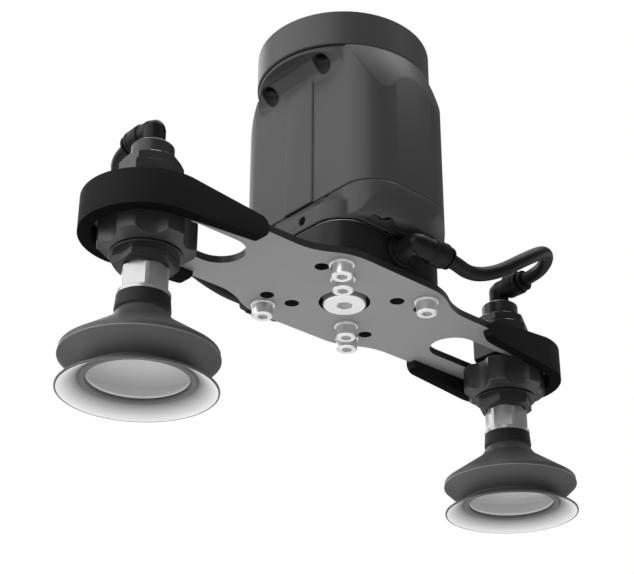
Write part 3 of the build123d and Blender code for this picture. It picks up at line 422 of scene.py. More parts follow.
class Finishes:
    """Every finish of the gripper and its floor, by its place."""

    housing = Finish("housing_paint", tone(60), 0.42, specular=0.28, mottle=0.02,
                     grain=0.004 * MM, grain_size=0.35 * MM, edge_round=1.2 * MM)
    ring = Finish("ring_anodised", tone(58), 0.4, specular=0.35, mottle=0.02,
                  grain=0.004 * MM, grain_size=0.3 * MM, edge_round=0.3 * MM)
    # Its lighter edges are partly wear and partly a painted highlight.
    block = Finish("block_anodised", tone(30), 0.36, specular=0.15, mottle=0.04,
                   grain=0.004 * MM, grain_size=0.3 * MM, edge_round=0.3 * MM, edge_wear_and_highlight=0.3)
    plate = Finish("plate_aluminium", tone(130), 0.5, 0.1, specular=0.3,
                   pattern=Pattern.BRUSHED, mottle=0.02, grain=0.003 * MM,
                   grain_size=0.4 * MM, edge_round=0.15 * MM)
    # The plate's upright faces, darkened as painted shade.
    plate_edge_shade = Finish("plate_edge_painted_shade", tone(34), 0.4, specular=0.4, mottle=0.04)
    zinc = Finish("screw_zinc", tone(222), 0.3, 0.7, mottle=0.05, grain=0.004 * MM,
                  grain_size=0.25 * MM, edge_round=0.15 * MM)
    black_steel = Finish("screw_black", tone(22), 0.4, 0.5, mottle=0.05, edge_round=0.15 * MM)
    nickel = Finish("fitting_nickel", tone(176), 0.3, 0.6, mottle=0.03, grain=0.0005 * MM,
                    grain_size=0.5 * MM, edge_round=0.2 * MM)
    clamp = Finish("clamp_anodised", tone(46), 0.32, specular=0.3, mottle=0.03,
                   grain=0.004 * MM, grain_size=0.3 * MM)
    # A painted highlight for the narrow upper rims of the stack and the block.
    painted_rim_highlight = Finish("painted_rim_highlight", tone(245), 0.3, 0.2, mottle=0.02, grain=0.002 * MM)
    knob = Finish("knob_anodised", tone(66), 0.38, 0.6, specular=0.4, mottle=0.03,
                  grain=0.004 * MM, grain_size=0.3 * MM)
    stem = Finish("stem_anodised", tone(40), 0.35, 0.2, specular=0.3, mottle=0.03,
                  grain=0.004 * MM, grain_size=0.3 * MM)
    guard = Finish("guard_rubber", tone(22), 0.75, specular=0.12,
                   mottle=0.08, grain=0.015 * MM, grain_size=0.4 * MM)
    # The guard's downward faces, darkened as painted shade.
    guard_painted_shade = Finish("guard_rubber_painted_shade", tone(8), 0.85, specular=0.05, mottle=0.08)
    elbow = Finish("elbow_plastic", tone(18), 0.4, specular=0.14,
                   mottle=0.06, grain=0.01 * MM, grain_size=0.3 * MM)
    hose = Finish("hose_tube", tone(15), 0.42, specular=0.15, mottle=0.05, grain=0.003 * MM,
                  grain_size=0.8 * MM)
    cup = Finish("cup_silicone", tone(70), 0.46, specular=0.45, mottle=0.05, grain=0.01 * MM,
                 grain_size=0.5 * MM)
    # The bellows' inside, painted pale as painted light.
    cup_inside_painted_light = Finish("cup_inside_painted_light", tone(218), 0.7, specular=0.2, mottle=0.04,
                        grain=0.01 * MM, grain_size=0.5 * MM)
    # A painted highlight on the outer faces of the bellows' rim.
    rim_highlight = Finish("cup_rim_painted_highlight", tone(120), 0.5, specular=0.4, mottle=0.05)
    neck = Finish("cup_neck", tone(28), 0.6, specular=0.25, mottle=0.05, grain=0.01 * MM,
                  grain_size=0.5 * MM)
    # The lip's inner cone: pale silicone with painted light that grows paler outwards.
    lip = PaintedLightLipFinish("lip_silicone_painted_light", tone(160), 0.62, specular=0.2, mottle=0.03,
                    grain=0.008 * MM, grain_size=0.5 * MM)
    seal = Finish("seal_rubber", tone(8), 0.8, specular=0.1, mottle=0.1)
    brass = Finish("valve_brass", (0.55, 0.38, 0.14), 0.3, 0.9, mottle=0.05, edge_round=0.2 * MM)
    board = Finish("board_mask", (0.01, 0.09, 0.03), 0.35, mottle=0.1)
    pump = Finish("pump_moulding", tone(120), 0.5, mottle=0.05, edge_round=0.2 * MM)
    sinter = Finish("filter_sinter", tone(205), 0.9, mottle=0.15, grain=0.1 * MM,
                    grain_size=0.25 * MM)
    floor = Finish("floor_paper", tone(244), 0.9, specular=0.1, mottle=0.01)


class Shape:
    """A mesh in the making, in the row's frame and in metres."""

    # A rounded corner is cut into steps of these angles, finer where its radius is large.
    LARGE_RADIUS = 10.0
    STEP = 0.2
    STEP_LARGE = 0.07

    def __init__(self) -> None:
        """Start empty."""
        self.bm = bmesh.new()

    def outline(self, corners: Sequence[tuple[float, float, float]], origin: Vector,
                along: Vector = Vector((1, 0, 0)), up: Vector = UP,
                closed: bool = True) -> "Shape":
        """Draw a profile and round its corners.

        Args:
            corners: Distance from the axis, height along it and rounding radius, in millimetres.
            origin: The point on the axis from which heights count.
            along: Direction of the distances.
            up: Direction of the axis.
            closed: Whether the last corner joins the first.

        Returns:
            The shape itself.
        """
        verts = [self.bm.verts.new(origin + (along * r + up * z) * MM) for r, z, _ in corners]
        ends = zip(verts, verts[1:] + verts[:1]) if closed else zip(verts, verts[1:])
        for first, second in ends:
            self.bm.edges.new((first, second))
        places = [v.co.copy() for v in verts]
        for index, (_, _, radius) in enumerate(corners):
            if radius:
                before = places[index - 1] - places[index]
                after = places[(index + 1) % len(places)] - places[index]
                turn = math.pi - before.angle(after)
                step = self.STEP if radius < self.LARGE_RADIUS else self.STEP_LARGE
                bmesh.ops.bevel(
                    self.bm, geom=[verts[index]], offset=radius * MM * math.tan(turn / 2),
                    segments=max(3, round(turn / step)), profile=0.5,
                    affect="VERTICES", material=-1,
                )
        return self

    def spin(self, centre: Vector, axis: Vector, steps: int) -> "Shape":
        """Turn the profile once round an axis.

        Args:
            centre: A point on the axis.
            axis: The axis's direction.
            steps: How many faces go round.

        Returns:
            The shape itself.
        """
        bmesh.ops.spin(
            self.bm, geom=self.bm.verts[:] + self.bm.edges[:], cent=centre, axis=axis,
            angle=2 * math.pi, steps=steps, use_merge=True,
        )
        bmesh.ops.remove_doubles(self.bm, verts=self.bm.verts[:], dist=WELD_SPUN)
        return self

    def extrude(self, move: Vector) -> "Shape":
        """Fill the drawn outline and draw it out to a solid.

        Args:
            move: How far and which way, in millimetres.

        Returns:
            The shape itself.
        """
        bmesh.ops.contextual_create(self.bm, geom=self.bm.edges[:])
        drawn = bmesh.ops.extrude_face_region(self.bm, geom=self.bm.faces[:])
        verts = [piece for piece in drawn["geom"] if isinstance(piece, bmesh.types.BMVert)]
        bmesh.ops.translate(self.bm, verts=verts, vec=move * MM)
        return self

    def bevel(self, width: float, segments: int = 2, angle: float = 28.0) -> "Shape":
        """Round the sharp edges.

        Args:
            width: How much each edge gives up, in metres.
            segments: How many faces go round an edge.
            angle: Edges that turn by more than this, in degrees, are rounded.

        Returns:
            The shape itself.
        """
        sharp = [
            edge for edge in self.bm.edges
            if edge.is_manifold and math.degrees(edge.calc_face_angle(0.0)) > angle
        ]
        bmesh.ops.bevel(
            self.bm, geom=sharp, offset=width, segments=segments, profile=0.5,
            affect="EDGES", material=-1, clamp_overlap=True,
        )
        return self

    def turned(self, matrix: Matrix) -> "Shape":
        """Move the whole shape."""
        bmesh.ops.transform(self.bm, matrix=matrix, verts=self.bm.verts[:])
        return self

    def add(self, other: "Shape") -> "Shape":
        """Take another shape's mesh in as a further shell.

        Args:
            other: The shape that is taken in.

        Returns:
            The shape itself.
        """
        spare = bpy.data.meshes.new("spare")
        other.bm.to_mesh(spare)
        self.bm.from_mesh(spare)
        bpy.data.meshes.remove(spare)
        return self

    def _spare(self) -> bpy.types.Object:
        """Give the mesh so far as an object for a modifier.

        Returns:
            The object, to be removed after its use.
        """
        bmesh.ops.recalc_face_normals(self.bm, faces=self.bm.faces[:])
        mesh = bpy.data.meshes.new("spare")
        self.bm.to_mesh(mesh)
        spare = bpy.data.objects.new("spare", mesh)
        bpy.context.scene.collection.objects.link(spare)
        return spare

    def cut(self, other: "Shape", operation: str = "DIFFERENCE") -> "Shape":
        """Take another closed shape away, or keep only what lies inside it.

        Args:
            other: The shape that does the cutting.
            operation: DIFFERENCE or INTERSECT.

        Returns:
            The shape itself.
        """
        piece, tool = self._spare(), other._spare()
        change = piece.modifiers.new("cut", "BOOLEAN")
        change.operation = operation
        change.solver = "EXACT"
        change.object = tool
        bpy.context.view_layer.update()
        result = piece.evaluated_get(bpy.context.evaluated_depsgraph_get())
        mesh = bpy.data.meshes.new_from_object(result)
        self.bm.clear()
        self.bm.from_mesh(mesh)
        bmesh.ops.remove_doubles(self.bm, verts=self.bm.verts[:], dist=WELD)
        bpy.data.meshes.remove(mesh)
        for spare in (piece, tool):
            bpy.data.meshes.remove(spare.data)
        return self

    def to_object(self, name: str, finish: Finish, smooth: float = 30.0) -> bpy.types.Object:
        """Make the object.

        Args:
            name: The object's name.
            finish: Its finish.
            smooth: Edges sharper than this, in degrees, stay sharp.

        Returns:
            The object, linked to the scene.
        """
        bmesh.ops.recalc_face_normals(self.bm, faces=self.bm.faces[:])
        for face in self.bm.faces:
            face.smooth = True
        mesh = bpy.data.meshes.new(name)
        self.bm.to_mesh(mesh)
        self.bm.free()
        mesh.set_sharp_from_angle(angle=math.radians(smooth))
        mesh.materials.append(finish.material())
        made = bpy.data.objects.new(name, mesh)
        bpy.context.scene.collection.objects.link(made)
        return made


@dataclass
class Skin:
    """A finely finished copy of a solid: merged, its flat faces joined and its edges rounded.

    bright_rim is the height in millimetres of an upper end whose edge gets a painted highlight.
    stretch is how far the lower and the upper half move up, in millimetres.
    """

    node: str
    finish: Finish
    body: str
    edge: float = 0.2 * MM
    smooth: float = 14.0
    flat_angle: float = 0.5
    bright_rim: Optional[float] = None
    rim_depth: float = 0.32
    rim_lean: tuple[float, float] = (0.2, 0.97)
    wall_finish: Optional[Finish] = None
    wall_lean: float = 0.5
    stretch: tuple[float, float] = (0.0, 0.0)

    def _finish_walls(self, piece: bpy.types.Object) -> None:
        """Give the upright faces a finish of their own.

        Args:
            piece: The finished copy.
        """
        piece.data.materials.append(self.wall_finish.material())
        for face in piece.data.polygons:
            if abs(face.normal.z) < self.wall_lean:
                face.material_index = 1

    def _paint_rim_highlight(self, piece: bpy.types.Object) -> None:
        """Paint a highlight on the narrow edge round the upper end.

        Args:
            piece: The finished copy.
        """
        piece.data.materials.append(Finishes.painted_rim_highlight.material())
        # The upper rim's faces get the painted highlight.
        steep, flat = self.rim_lean
        for face in piece.data.polygons:
            high = face.center.z > (self.bright_rim - self.rim_depth) * MM
            if high and steep < face.normal.z < flat:
                face.material_index = 1

    def _worked(self, shape: Shape) -> Shape:
        """Move the copy's lower and upper ends by the stretch.

        Args:
            shape: The merged copy.

        Returns:
            The same copy, changed.
        """
        heights = [vert.co.z for vert in shape.bm.verts]
        middle = (min(heights) + max(heights)) / 2
        for vert in shape.bm.verts:
            vert.co.z += self.stretch[vert.co.z > middle] * MM
        return shape

    def build(self) -> bpy.types.Object:
        """Build the copy in place of its node.

        Returns:
            The finished piece.
        """
        shape = Shape()
        shape.bm.from_mesh(frame["nodes"][self.node].data)
        bmesh.ops.remove_doubles(shape.bm, verts=shape.bm.verts[:], dist=WELD)
        bmesh.ops.dissolve_limit(
            shape.bm, angle_limit=math.radians(self.flat_angle), verts=shape.bm.verts[:],
            edges=shape.bm.edges[:], use_dissolve_boundaries=False,
        )
        shape = self._worked(shape)
        if self.edge:
            shape.bevel(self.edge)
        made = shape.to_object(self.node + "_skin", self.finish, self.smooth)
        if self.bright_rim is not None:
            self._paint_rim_highlight(made)
        if self.wall_finish is not None:
            self._finish_walls(made)
        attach(made, self.body)
        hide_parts(self.node)
        LOG.info("skin of %s", self.node)
        return made


@dataclass
class TurnedHex(Skin):
    """A hexagon whose end is turned to a cone, so that arcs run over its corners.

    The cone meets the end, a height in millimetres, at the rim's radius. Its blank is wider than
    the rim by the margin and longer than the hexagon.
    """

    side: Side = Side.RIGHT
    end: float = 0.0
    rim_radius: float = 9.7
    slope: float = 30.0
    upward: bool = True
    margin: float = 6.0
    blank_length: float = 60.0
    steps: int = 96

    def _worked(self, shape: Shape) -> Shape:
        """Cut the copy to the cone.

        Args:
            shape: The merged copy.

        Returns:
            The same copy, changed.
        """
        drop = math.tan(math.radians(self.slope))
        widest = self.rim_radius + self.margin
        origin = Vector((CUP_X * MM, 0, self.end * MM))
        up = UP if self.upward else -UP
        cone = Shape().outline([
            (0, drop, 0), (self.rim_radius - 1, drop, 0), (widest, -self.margin * drop, 0),
            (widest, -self.blank_length, 0), (0, -self.blank_length, 0),
        ], origin, up=up, closed=False)
        cone.spin(origin, up, self.steps).turned(self.side.turn)
        return super()._worked(shape).cut(cone, "INTERSECT")


@dataclass
class Knob:
    """The clamp knob: a drum with a conical nose and six scallops cut right through."""

    side: Side
    top: float = -119.0
    radius: float = 18.0
    straight: float = 10.9
    drop: float = 13.4
    nose: float = 13.4
    bore: float = 10.1
    rounding: tuple[float, float, float] = (0.4, 0.5, 0.3)
    lobes: int = 6
    scallop: float = 9.0
    scallop_circle: float = 24.0
    cutter_length: float = 60.0
    edge: float = 0.25
    edge_angle: float = 26.0
    smooth: float = 20.0
    steps: int = 120
    scallop_steps: int = 96

    def build(self) -> bpy.types.Object:
        """Build the knob in place of its solid.

        Returns:
            The finished piece.
        """
        origin = Vector((CUP_X * MM, 0, self.top * MM))
        upper, shoulder, lower = self.rounding
        drum = Shape().outline([
            (self.bore, 0, 0), (self.radius, 0, upper), (self.radius, -self.straight, shoulder),
            (self.nose, -self.drop, lower), (self.bore, -self.drop, 0),
        ], origin).spin(origin, UP, self.steps)
        for lobe in range(self.lobes):
            turn = Matrix.Rotation(2 * math.pi * lobe / self.lobes, 4, "Z")
            centre = origin + turn @ Vector((self.scallop_circle * MM, 0, 0))
            rod = Shape()
            bmesh.ops.create_cone(
                rod.bm, cap_ends=True, segments=self.scallop_steps, radius1=self.scallop * MM,
                radius2=self.scallop * MM, depth=self.cutter_length * MM,
                matrix=Matrix.Translation(centre),
            )
            drum.cut(rod)
        drum.bevel(self.edge * MM, angle=self.edge_angle)
        name = self.side.node("clamp_knob")
        drum.turned(self.side.turn)
        piece = drum.to_object(name + "_drum", Finishes.knob, self.smooth)
        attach(piece, frame["nodes"][name]["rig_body"])
        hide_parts(name)
        LOG.info("knob on the %s", self.side.value)
        return piece


@dataclass
class Guard:
    """A soft channel round one end of the plate, with rounded edges and round tips.

    Heights count from the plate's underside, level. The cutters reach well beyond the channel.
    """

    side: Side
    outer: float = 25.2
    inner: float = 20.3
    tip_x: float = 61.5
    level: float = -117.9
    high: float = 7.0
    low: float = -7.2
    tip_high: float = 4.0
    tip_low: float = -4.2
    tip_round: float = 3.9
    edge_round: float = 1.9
    groove_radius: float = 23.4
    groove_height: float = 3.0
    groove_from: float = 20.0
    taper_round: float = 9.0
    end_gap: float = 0.01
    beyond: float = 40.0
    edge_segments: int = 4
    smooth: float = 35.0
    under_lean: float = -0.6

    def _plan(self, near: float, radius: float) -> list[tuple[float, float, float]]:
        """Give the outline of one end seen from above, round about the cup's axis.

        Args:
            near: Where the outline starts, in millimetres from the middle.
            radius: The round end's radius about the cup's axis.

        Returns:
            Its corners, as Shape.outline takes them.
        """
        reach, rounding = CUP_X + radius, radius - self.end_gap
        return [(near, radius, 0), (reach, radius, rounding), (reach, -radius, rounding),
                (near, -radius, 0)]

    def _side_view(self) -> list[tuple[float, float, float]]:
        """Give the channel's outline seen from the side, growing from its tip to its full height.

        Returns:
            Its corners, as Shape.outline takes them.
        """
        end = CUP_X + self.beyond
        return [
            (self.tip_x, self.tip_low, self.tip_round), (CUP_X, self.low, self.taper_round),
            (end, self.low, 0), (end, self.high, 0), (CUP_X, self.high, self.taper_round),
            (self.tip_x, self.tip_high, self.tip_round),
        ]

    def build(self) -> bpy.types.Object:
        """Build the guard in place of its solid.

        Returns:
            The finished piece.
        """
        level = Vector((0, 0, self.level * MM))
        low = level + Vector((0, 0, self.low * MM))
        ahead = Vector((0, 1, 0))
        channel = Shape().outline(
            self._plan(self.tip_x, self.outer) + self._plan(self.tip_x, self.inner)[::-1],
            low, up=ahead,
        ).extrude(UP * (self.high - self.low))
        taper = Shape().outline(self._side_view(), level - ahead * self.beyond * MM)
        taper.extrude(ahead * (2 * self.beyond))
        channel.cut(taper, "INTERSECT").bevel(self.edge_round * MM, self.edge_segments)
        groove = Shape().outline(self._plan(self.groove_from, self.groove_radius), level, up=ahead)
        channel.cut(groove.extrude(UP * self.groove_height))
        name = self.side.node("end_guard")
        channel.turned(self.side.turn)
        piece = channel.to_object(name + "_channel", Finishes.guard, self.smooth)
        # Downward faces get a darker copy of the rubber as painted shade.
        piece.data.materials.append(Finishes.guard_painted_shade.material())
        for face in piece.data.polygons:
            if face.normal.z < self.under_lean:
                face.material_index = 1
        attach(piece, frame["nodes"][name]["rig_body"])
        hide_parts(name)
        LOG.info("guard on the %s", self.side.value)
        return piece


@dataclass
class Camera:
    """The photograph's viewpoint."""

    position: tuple[float, float, float] = (-350.265, -370.858, -374.929)
    yaw: float = 43.071
    pitch: float = 26.368
    roll: float = -0.164
    lens: float = 80.007
    shift: tuple[float, float] = (-0.03315, 0.03863)
    sensor: float = 36.0
    nearest: float = 0.01

    def build(self) -> bpy.types.Object:
        """Place the camera and make it the scene's.

        Returns:
            The camera.
        """
        data = bpy.data.cameras.new("photo_camera")
        data.lens = self.lens
        data.sensor_width = self.sensor
        data.shift_x, data.shift_y = self.shift
        data.clip_start = self.nearest
        camera = bpy.data.objects.new("photo_camera", data)
        turn = Matrix.Rotation(math.radians(-self.yaw), 4, "Z")
        turn @= Matrix.Rotation(math.radians(90 + self.pitch), 4, "X")
        turn @= Matrix.Rotation(math.radians(self.roll), 4, "Z")
        camera.matrix_world = Matrix.Translation(Vector(self.position) * MM) @ turn
        bpy.context.scene.collection.objects.link(camera)
        bpy.context.scene.camera = camera
        return camera


@dataclass(frozen=True)
class Lamp:
    """One flat lamp: its place and size in millimetres and the brightness of its face."""

    name: str
    place: tuple[float, float, float]
    size: tuple[float, float]
    brightness: float
    target: tuple[float, float, float] = (0, 0, -100)

    def build(self) -> bpy.types.Object:
        """Hang the lamp, aimed at its target and unseen by the camera.

        Returns:
            The lamp.
        """
        width, height = (edge * MM for edge in self.size)
        data = bpy.data.lights.new(self.name, "AREA")
        data.shape = "RECTANGLE"
        data.size, data.size_y = width, height
        data.energy = self.brightness * math.pi * width * height
        lamp = bpy.data.objects.new(self.name, data)
        lamp.location = Vector(self.place) * MM
        aim = Vector(self.target) * MM - lamp.location
        lamp.rotation_euler = aim.to_track_quat("-Z", "Y").to_euler()
        lamp.visible_camera = False
        bpy.context.scene.collection.objects.link(lamp)
        return lamp


@dataclass
class Studio:
    """Plain soft light, a pale floor under the gripper and a white surround."""

    floor_height: float = -600.0
    floor_size: float = 6000.0
    diffuse_level: float = 0.16
    glossy_level: float = 0.2
    lamps: tuple[Lamp, ...] = (
        Lamp("left_panel", (-1000, 180, 350), (2000, 1200), 2.2),
        Lamp("under_panel", (0, 0, -560), (2400, 2400), 0.42, (0, 0, 0)),
        Lamp("overhead", (60, 60, 900), (900, 900), 2.4),
        Lamp("top_right", (520, -420, 1000), (500, 500), 2.8),
        Lamp("back_rim", (100, 1000, 450), (700, 700), 2.0),
        Lamp("right_rim", (1100, -250, 50), (600, 600), 0.9),
    )

    def _world(self) -> None:
        """Show white to the camera and through clear pieces, and softer greys to other rays."""
        world = bpy.data.worlds.new("surround")
        bpy.context.scene.world = world
        world.use_nodes = True
        tree = world.node_tree
        path = tree.nodes.new("ShaderNodeLightPath")
        level = path.outputs["Is Glossy Ray"]
        steps = (
            ("MULTIPLY_ADD", (self.glossy_level - self.diffuse_level, self.diffuse_level)),
            ("MAXIMUM", (path.outputs["Is Camera Ray"],)),
            ("MAXIMUM", (path.outputs["Is Transmission Ray"],)),
        )
        for operation, values in steps:
            node = tree.nodes.new("ShaderNodeMath")
            node.operation = operation
            tree.links.new(level, node.inputs[0])
            for socket, value in zip(list(node.inputs)[1:], values):
                if isinstance(value, bpy.types.NodeSocket):
                    tree.links.new(value, socket)
                else:
                    socket.default_value = value
            level = node.outputs[0]
        background = tree.nodes["Background"]
        background.inputs["Color"].default_value = (1, 1, 1, 1)
        tree.links.new(level, background.inputs["Strength"])

    def _floor(self) -> None:
        """Lay the floor well below the gripper, under the camera's height."""
        shape = Shape()
        bmesh.ops.create_grid(shape.bm, x_segments=2, y_segments=2, size=self.floor_size * MM / 2)
        shape.turned(Matrix.Translation((0, 0, self.floor_height * MM)))
        floor = shape.to_object("floor", Finishes.floor)

    def build(self) -> None:
        """Build the surround."""
        bpy.context.scene.view_settings.view_transform = "Standard"
        self._world()
        self._floor()
        for lamp in self.lamps:
            lamp.build()


@dataclass
class Hose:
    """One air hose from the manifold's elbow to the cup's elbow."""

    side: Side
    radius: float = 3.0
    length: float = 120.5
    route: tuple[tuple[float, float, float], ...] = (
        (8.0, BLOCK_PORT_Y, BLOCK_PORT_Z), (20.5, BLOCK_PORT_Y, BLOCK_PORT_Z),
        (33.5, -38.8, -108.5), (48.0, -40.8, -103.1), (62.8, -43.9, -92.5), (77.0, -43.7, -83.1),
        (89.4, -35.6, -79.7), (CUP_X, -22.5, CUP_PORT_Z), (CUP_X, -8.0, CUP_PORT_Z),
    )
    order: int = 3
    resolution: int = 16
    roundness: int = 6

    def _line(self, bevel: float) -> bpy.types.Object:
        """Make the smooth line through the route.

        Args:
            bevel: The radius round the line in metres, or 0 for the line alone.

        Returns:
            The line, to be removed after its use.
        """
        data = bpy.data.curves.new(self.side.node("hose_line"), "CURVE")
        data.dimensions = "3D"
        data.resolution_u = self.resolution
        data.bevel_depth = bevel
        data.bevel_resolution = self.roundness
        data.use_fill_caps = True
        spline = data.splines.new("NURBS")
        spline.points.add(len(self.route) - 1)
        for point, place in zip(spline.points, self.route):
            point.co = (*(self.side.turn @ (Vector(place) * MM)), 1)
        spline.order_u = self.order
        spline.use_endpoint_u = True
        line = bpy.data.objects.new(data.name, data)
        bpy.context.scene.collection.objects.link(line)
        return line

    def build(self) -> bpy.types.Object:
        """Build the hose as a curved tube from the block to the cup.

        Returns:
            The finished piece.
        """
        centre = self._line(0.0)
        path_mesh = bpy.data.meshes.new_from_object(centre)
        thick = self._line(self.radius * MM)
        mesh = bpy.data.meshes.new_from_object(thick)
        bpy.data.objects.remove(centre)
        bpy.data.objects.remove(thick)
        mesh.polygons.foreach_set("use_smooth", [True] * len(mesh.polygons))
        mesh.materials.clear()
        mesh.materials.append(Finishes.hose.material())
        name = self.side.node("hose")
        hose = bpy.data.objects.new(name + "_tube", mesh)
        bpy.context.scene.collection.objects.link(hose)
        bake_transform(hose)
        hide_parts(name)
        LOG.info("hose on the %s", self.side.value)
        return hose


@dataclass
class SuctionCup:
    """The bellows and lip of one cup.

    rim, fold and valley are a radius and a height, and neck is an upper and a lower radius. cone is
    how far the outer cone runs out and down from the throat before it straightens. inner_neck and
    inner_cone are a radius and a depth below the neck, inside. inward is how far a face's normal
    has to point at the axis for it to count as inside.
    """

    side: Side
    steps: int = 96
    top: float = -149.75
    wall: float = 1.8
    bore: float = 5.3
    neck: tuple[float, float] = (9.7, 10.2)
    neck_low: float = -155.35
    throat: float = 9.2
    cone: tuple[float, float] = (2.6, 4.6)
    cone_round: float = 7.0
    inner_neck: tuple[float, float] = (8.0, 3.6)
    inner_cone: tuple[float, float] = (11.0, 6.9)
    inner_round: float = 6.0
    rim: tuple[float, float] = (28.4, -173.4)
    rim_height: float = 2.2
    rim_lip: float = 0.3
    rim_highlight_width: float = 0.2
    fold: tuple[float, float] = (26.2, -172.3)
    valley: tuple[float, float] = (21.2, -180.4)
    opening: float = 17.9
    bead: float = 20.3
    bead_low: float = -181.9
    lip_radius: float = 28.3
    lip_low: float = -185.45
    lip_edge: float = 0.7
    bead_band: float = 0.4
    edge_band: float = 0.6
    inward: float = -0.05

    @property
    def _axis(self) -> Vector:
        """Give the point of the cup's axis at height 0."""
        return self.side.turn @ Vector((CUP_X * MM, 0, 0))

    def _turned(self, corners: Sequence[tuple[float, float, float]]) -> Shape:
        """Turn a profile about the cup's axis, on this side.

        Args:
            corners: Radius, height and rounding radius, in millimetres.

        Returns:
            The turned shape.
        """
        origin = Vector((CUP_X * MM, 0, 0))
        shape = Shape().outline(corners, origin)
        return shape.spin(origin, UP, self.steps).turned(self.side.turn)

    def _facing(self, face: bpy.types.MeshPolygon) -> tuple[float, bool]:
        """Tell where a face is and which way it looks.

        Args:
            face: The face.

        Returns:
            Its distance from the cup's axis in millimetres, and whether it looks at the axis.
        """
        out = (face.center - self._axis) * Vector((1, 1, 0))
        outward = face.normal.dot(out.normalized()) if out.length else 0.0
        return out.length / MM, outward < self.inward

    def _paint_bellows(self, piece: bpy.types.Object) -> None:
        """Give the inside painted light, the neck a finish of its own and the rim's outer faces a
        painted highlight.

        Args:
            piece: The bellows.
        """
        mesh = piece.data
        for finish in (Finishes.cup_inside_painted_light, Finishes.neck, Finishes.rim_highlight):
            mesh.materials.append(finish.material())
        for face in mesh.polygons:
            distance, inside = self._facing(face)
            # Inside faces get painted light, and the rim's outer faces a painted highlight.
            if face.center.z > self.neck_low * MM:
                face.material_index = 2
            elif inside:
                face.material_index = 1
            elif distance > self.rim[0] - self.rim_highlight_width:
                face.material_index = 3

    def _paint_lip(self, piece: bpy.types.Object) -> None:
        """Keep the pale finish with its painted light for the lip's inner cone, and the cup's own
        for the rest.

        Args:
            piece: The lip.
        """
        mesh = piece.data
        mesh.materials.append(Finishes.cup.material())
        for face in mesh.polygons:
            distance, inside = self._facing(face)
            on_cone = self.bead + self.bead_band < distance < self.lip_radius - self.edge_band
            face.material_index = 0 if inside and on_cone else 1

    def _bellows_profile(self) -> list[tuple[float, float, float]]:
        """Give the bellows' section: outside from the neck to the valley, and back up inside.

        Returns:
            Its corners, as Shape.outline takes them.
        """
        rim_r, rim_z = self.rim
        valley_r, valley_z = self.valley
        low = self.neck_low
        out, down = self.cone
        neck_r, neck_depth = self.inner_neck
        cone_r, cone_depth = self.inner_cone
        return [
            (self.bore, self.top, 0), (self.neck[0], self.top, 0.25), (self.neck[1], low, 0.3),
            (self.throat, low - 0.2, 0), (self.throat + out, low - down, self.cone_round),
            (rim_r - self.rim_lip, rim_z + self.rim_height, 0.2),
            (rim_r - self.rim_lip, rim_z + 0.5, 0), (rim_r, rim_z + 0.4, 0.1),
            (rim_r, rim_z, 0.15), (valley_r, valley_z, 0), (self.opening, valley_z, 0),
            (self.opening, valley_z + self.wall / 2, 0.4), (*self.fold, 1.0),
            (cone_r, low - cone_depth, self.inner_round), (neck_r, low - neck_depth, 2.0),
            (self.bore, low - self.wall, 0),
        ]

    def _lip_profile(self) -> list[tuple[float, float, float]]:
        """Give the lip's section: outside from the valley to its edge, and back up to the bead.

        Returns:
            Its corners, as Shape.outline takes them.
        """
        valley_r, valley_z = self.valley
        return [
            (self.opening, valley_z, 0), (valley_r, valley_z, 0),
            (valley_r + 0.3, valley_z - 0.9, 0.5),
            (self.lip_radius, self.lip_low + self.lip_edge, 0.25),
            (self.lip_radius, self.lip_low, 0.2),
            (self.lip_radius - self.lip_edge, self.lip_low, 0.15),
            (self.bead + 0.5, self.bead_low + 0.6, 0.2), (self.bead, self.bead_low, 0.7),
            (self.opening, self.bead_low, 1.0),
        ]

    def build(self) -> None:
        """Build both soft pieces in place of their solids."""
        bellows = self._turned(self._bellows_profile()).to_object(
            self.side.node("bellows") + "_soft", Finishes.cup
        )
        self._paint_bellows(bellows)
        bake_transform(bellows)
        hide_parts(self.side.node("bellows"))
        lip = self._turned(self._lip_profile()).to_object(
            self.side.node("cup_lip") + "_soft", Finishes.lip
        )
        self._paint_lip(lip)
        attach(lip, self.side.value + "_lip")
        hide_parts(self.side.node("cup_lip"))
        LOG.info("cup on the %s", self.side.value)


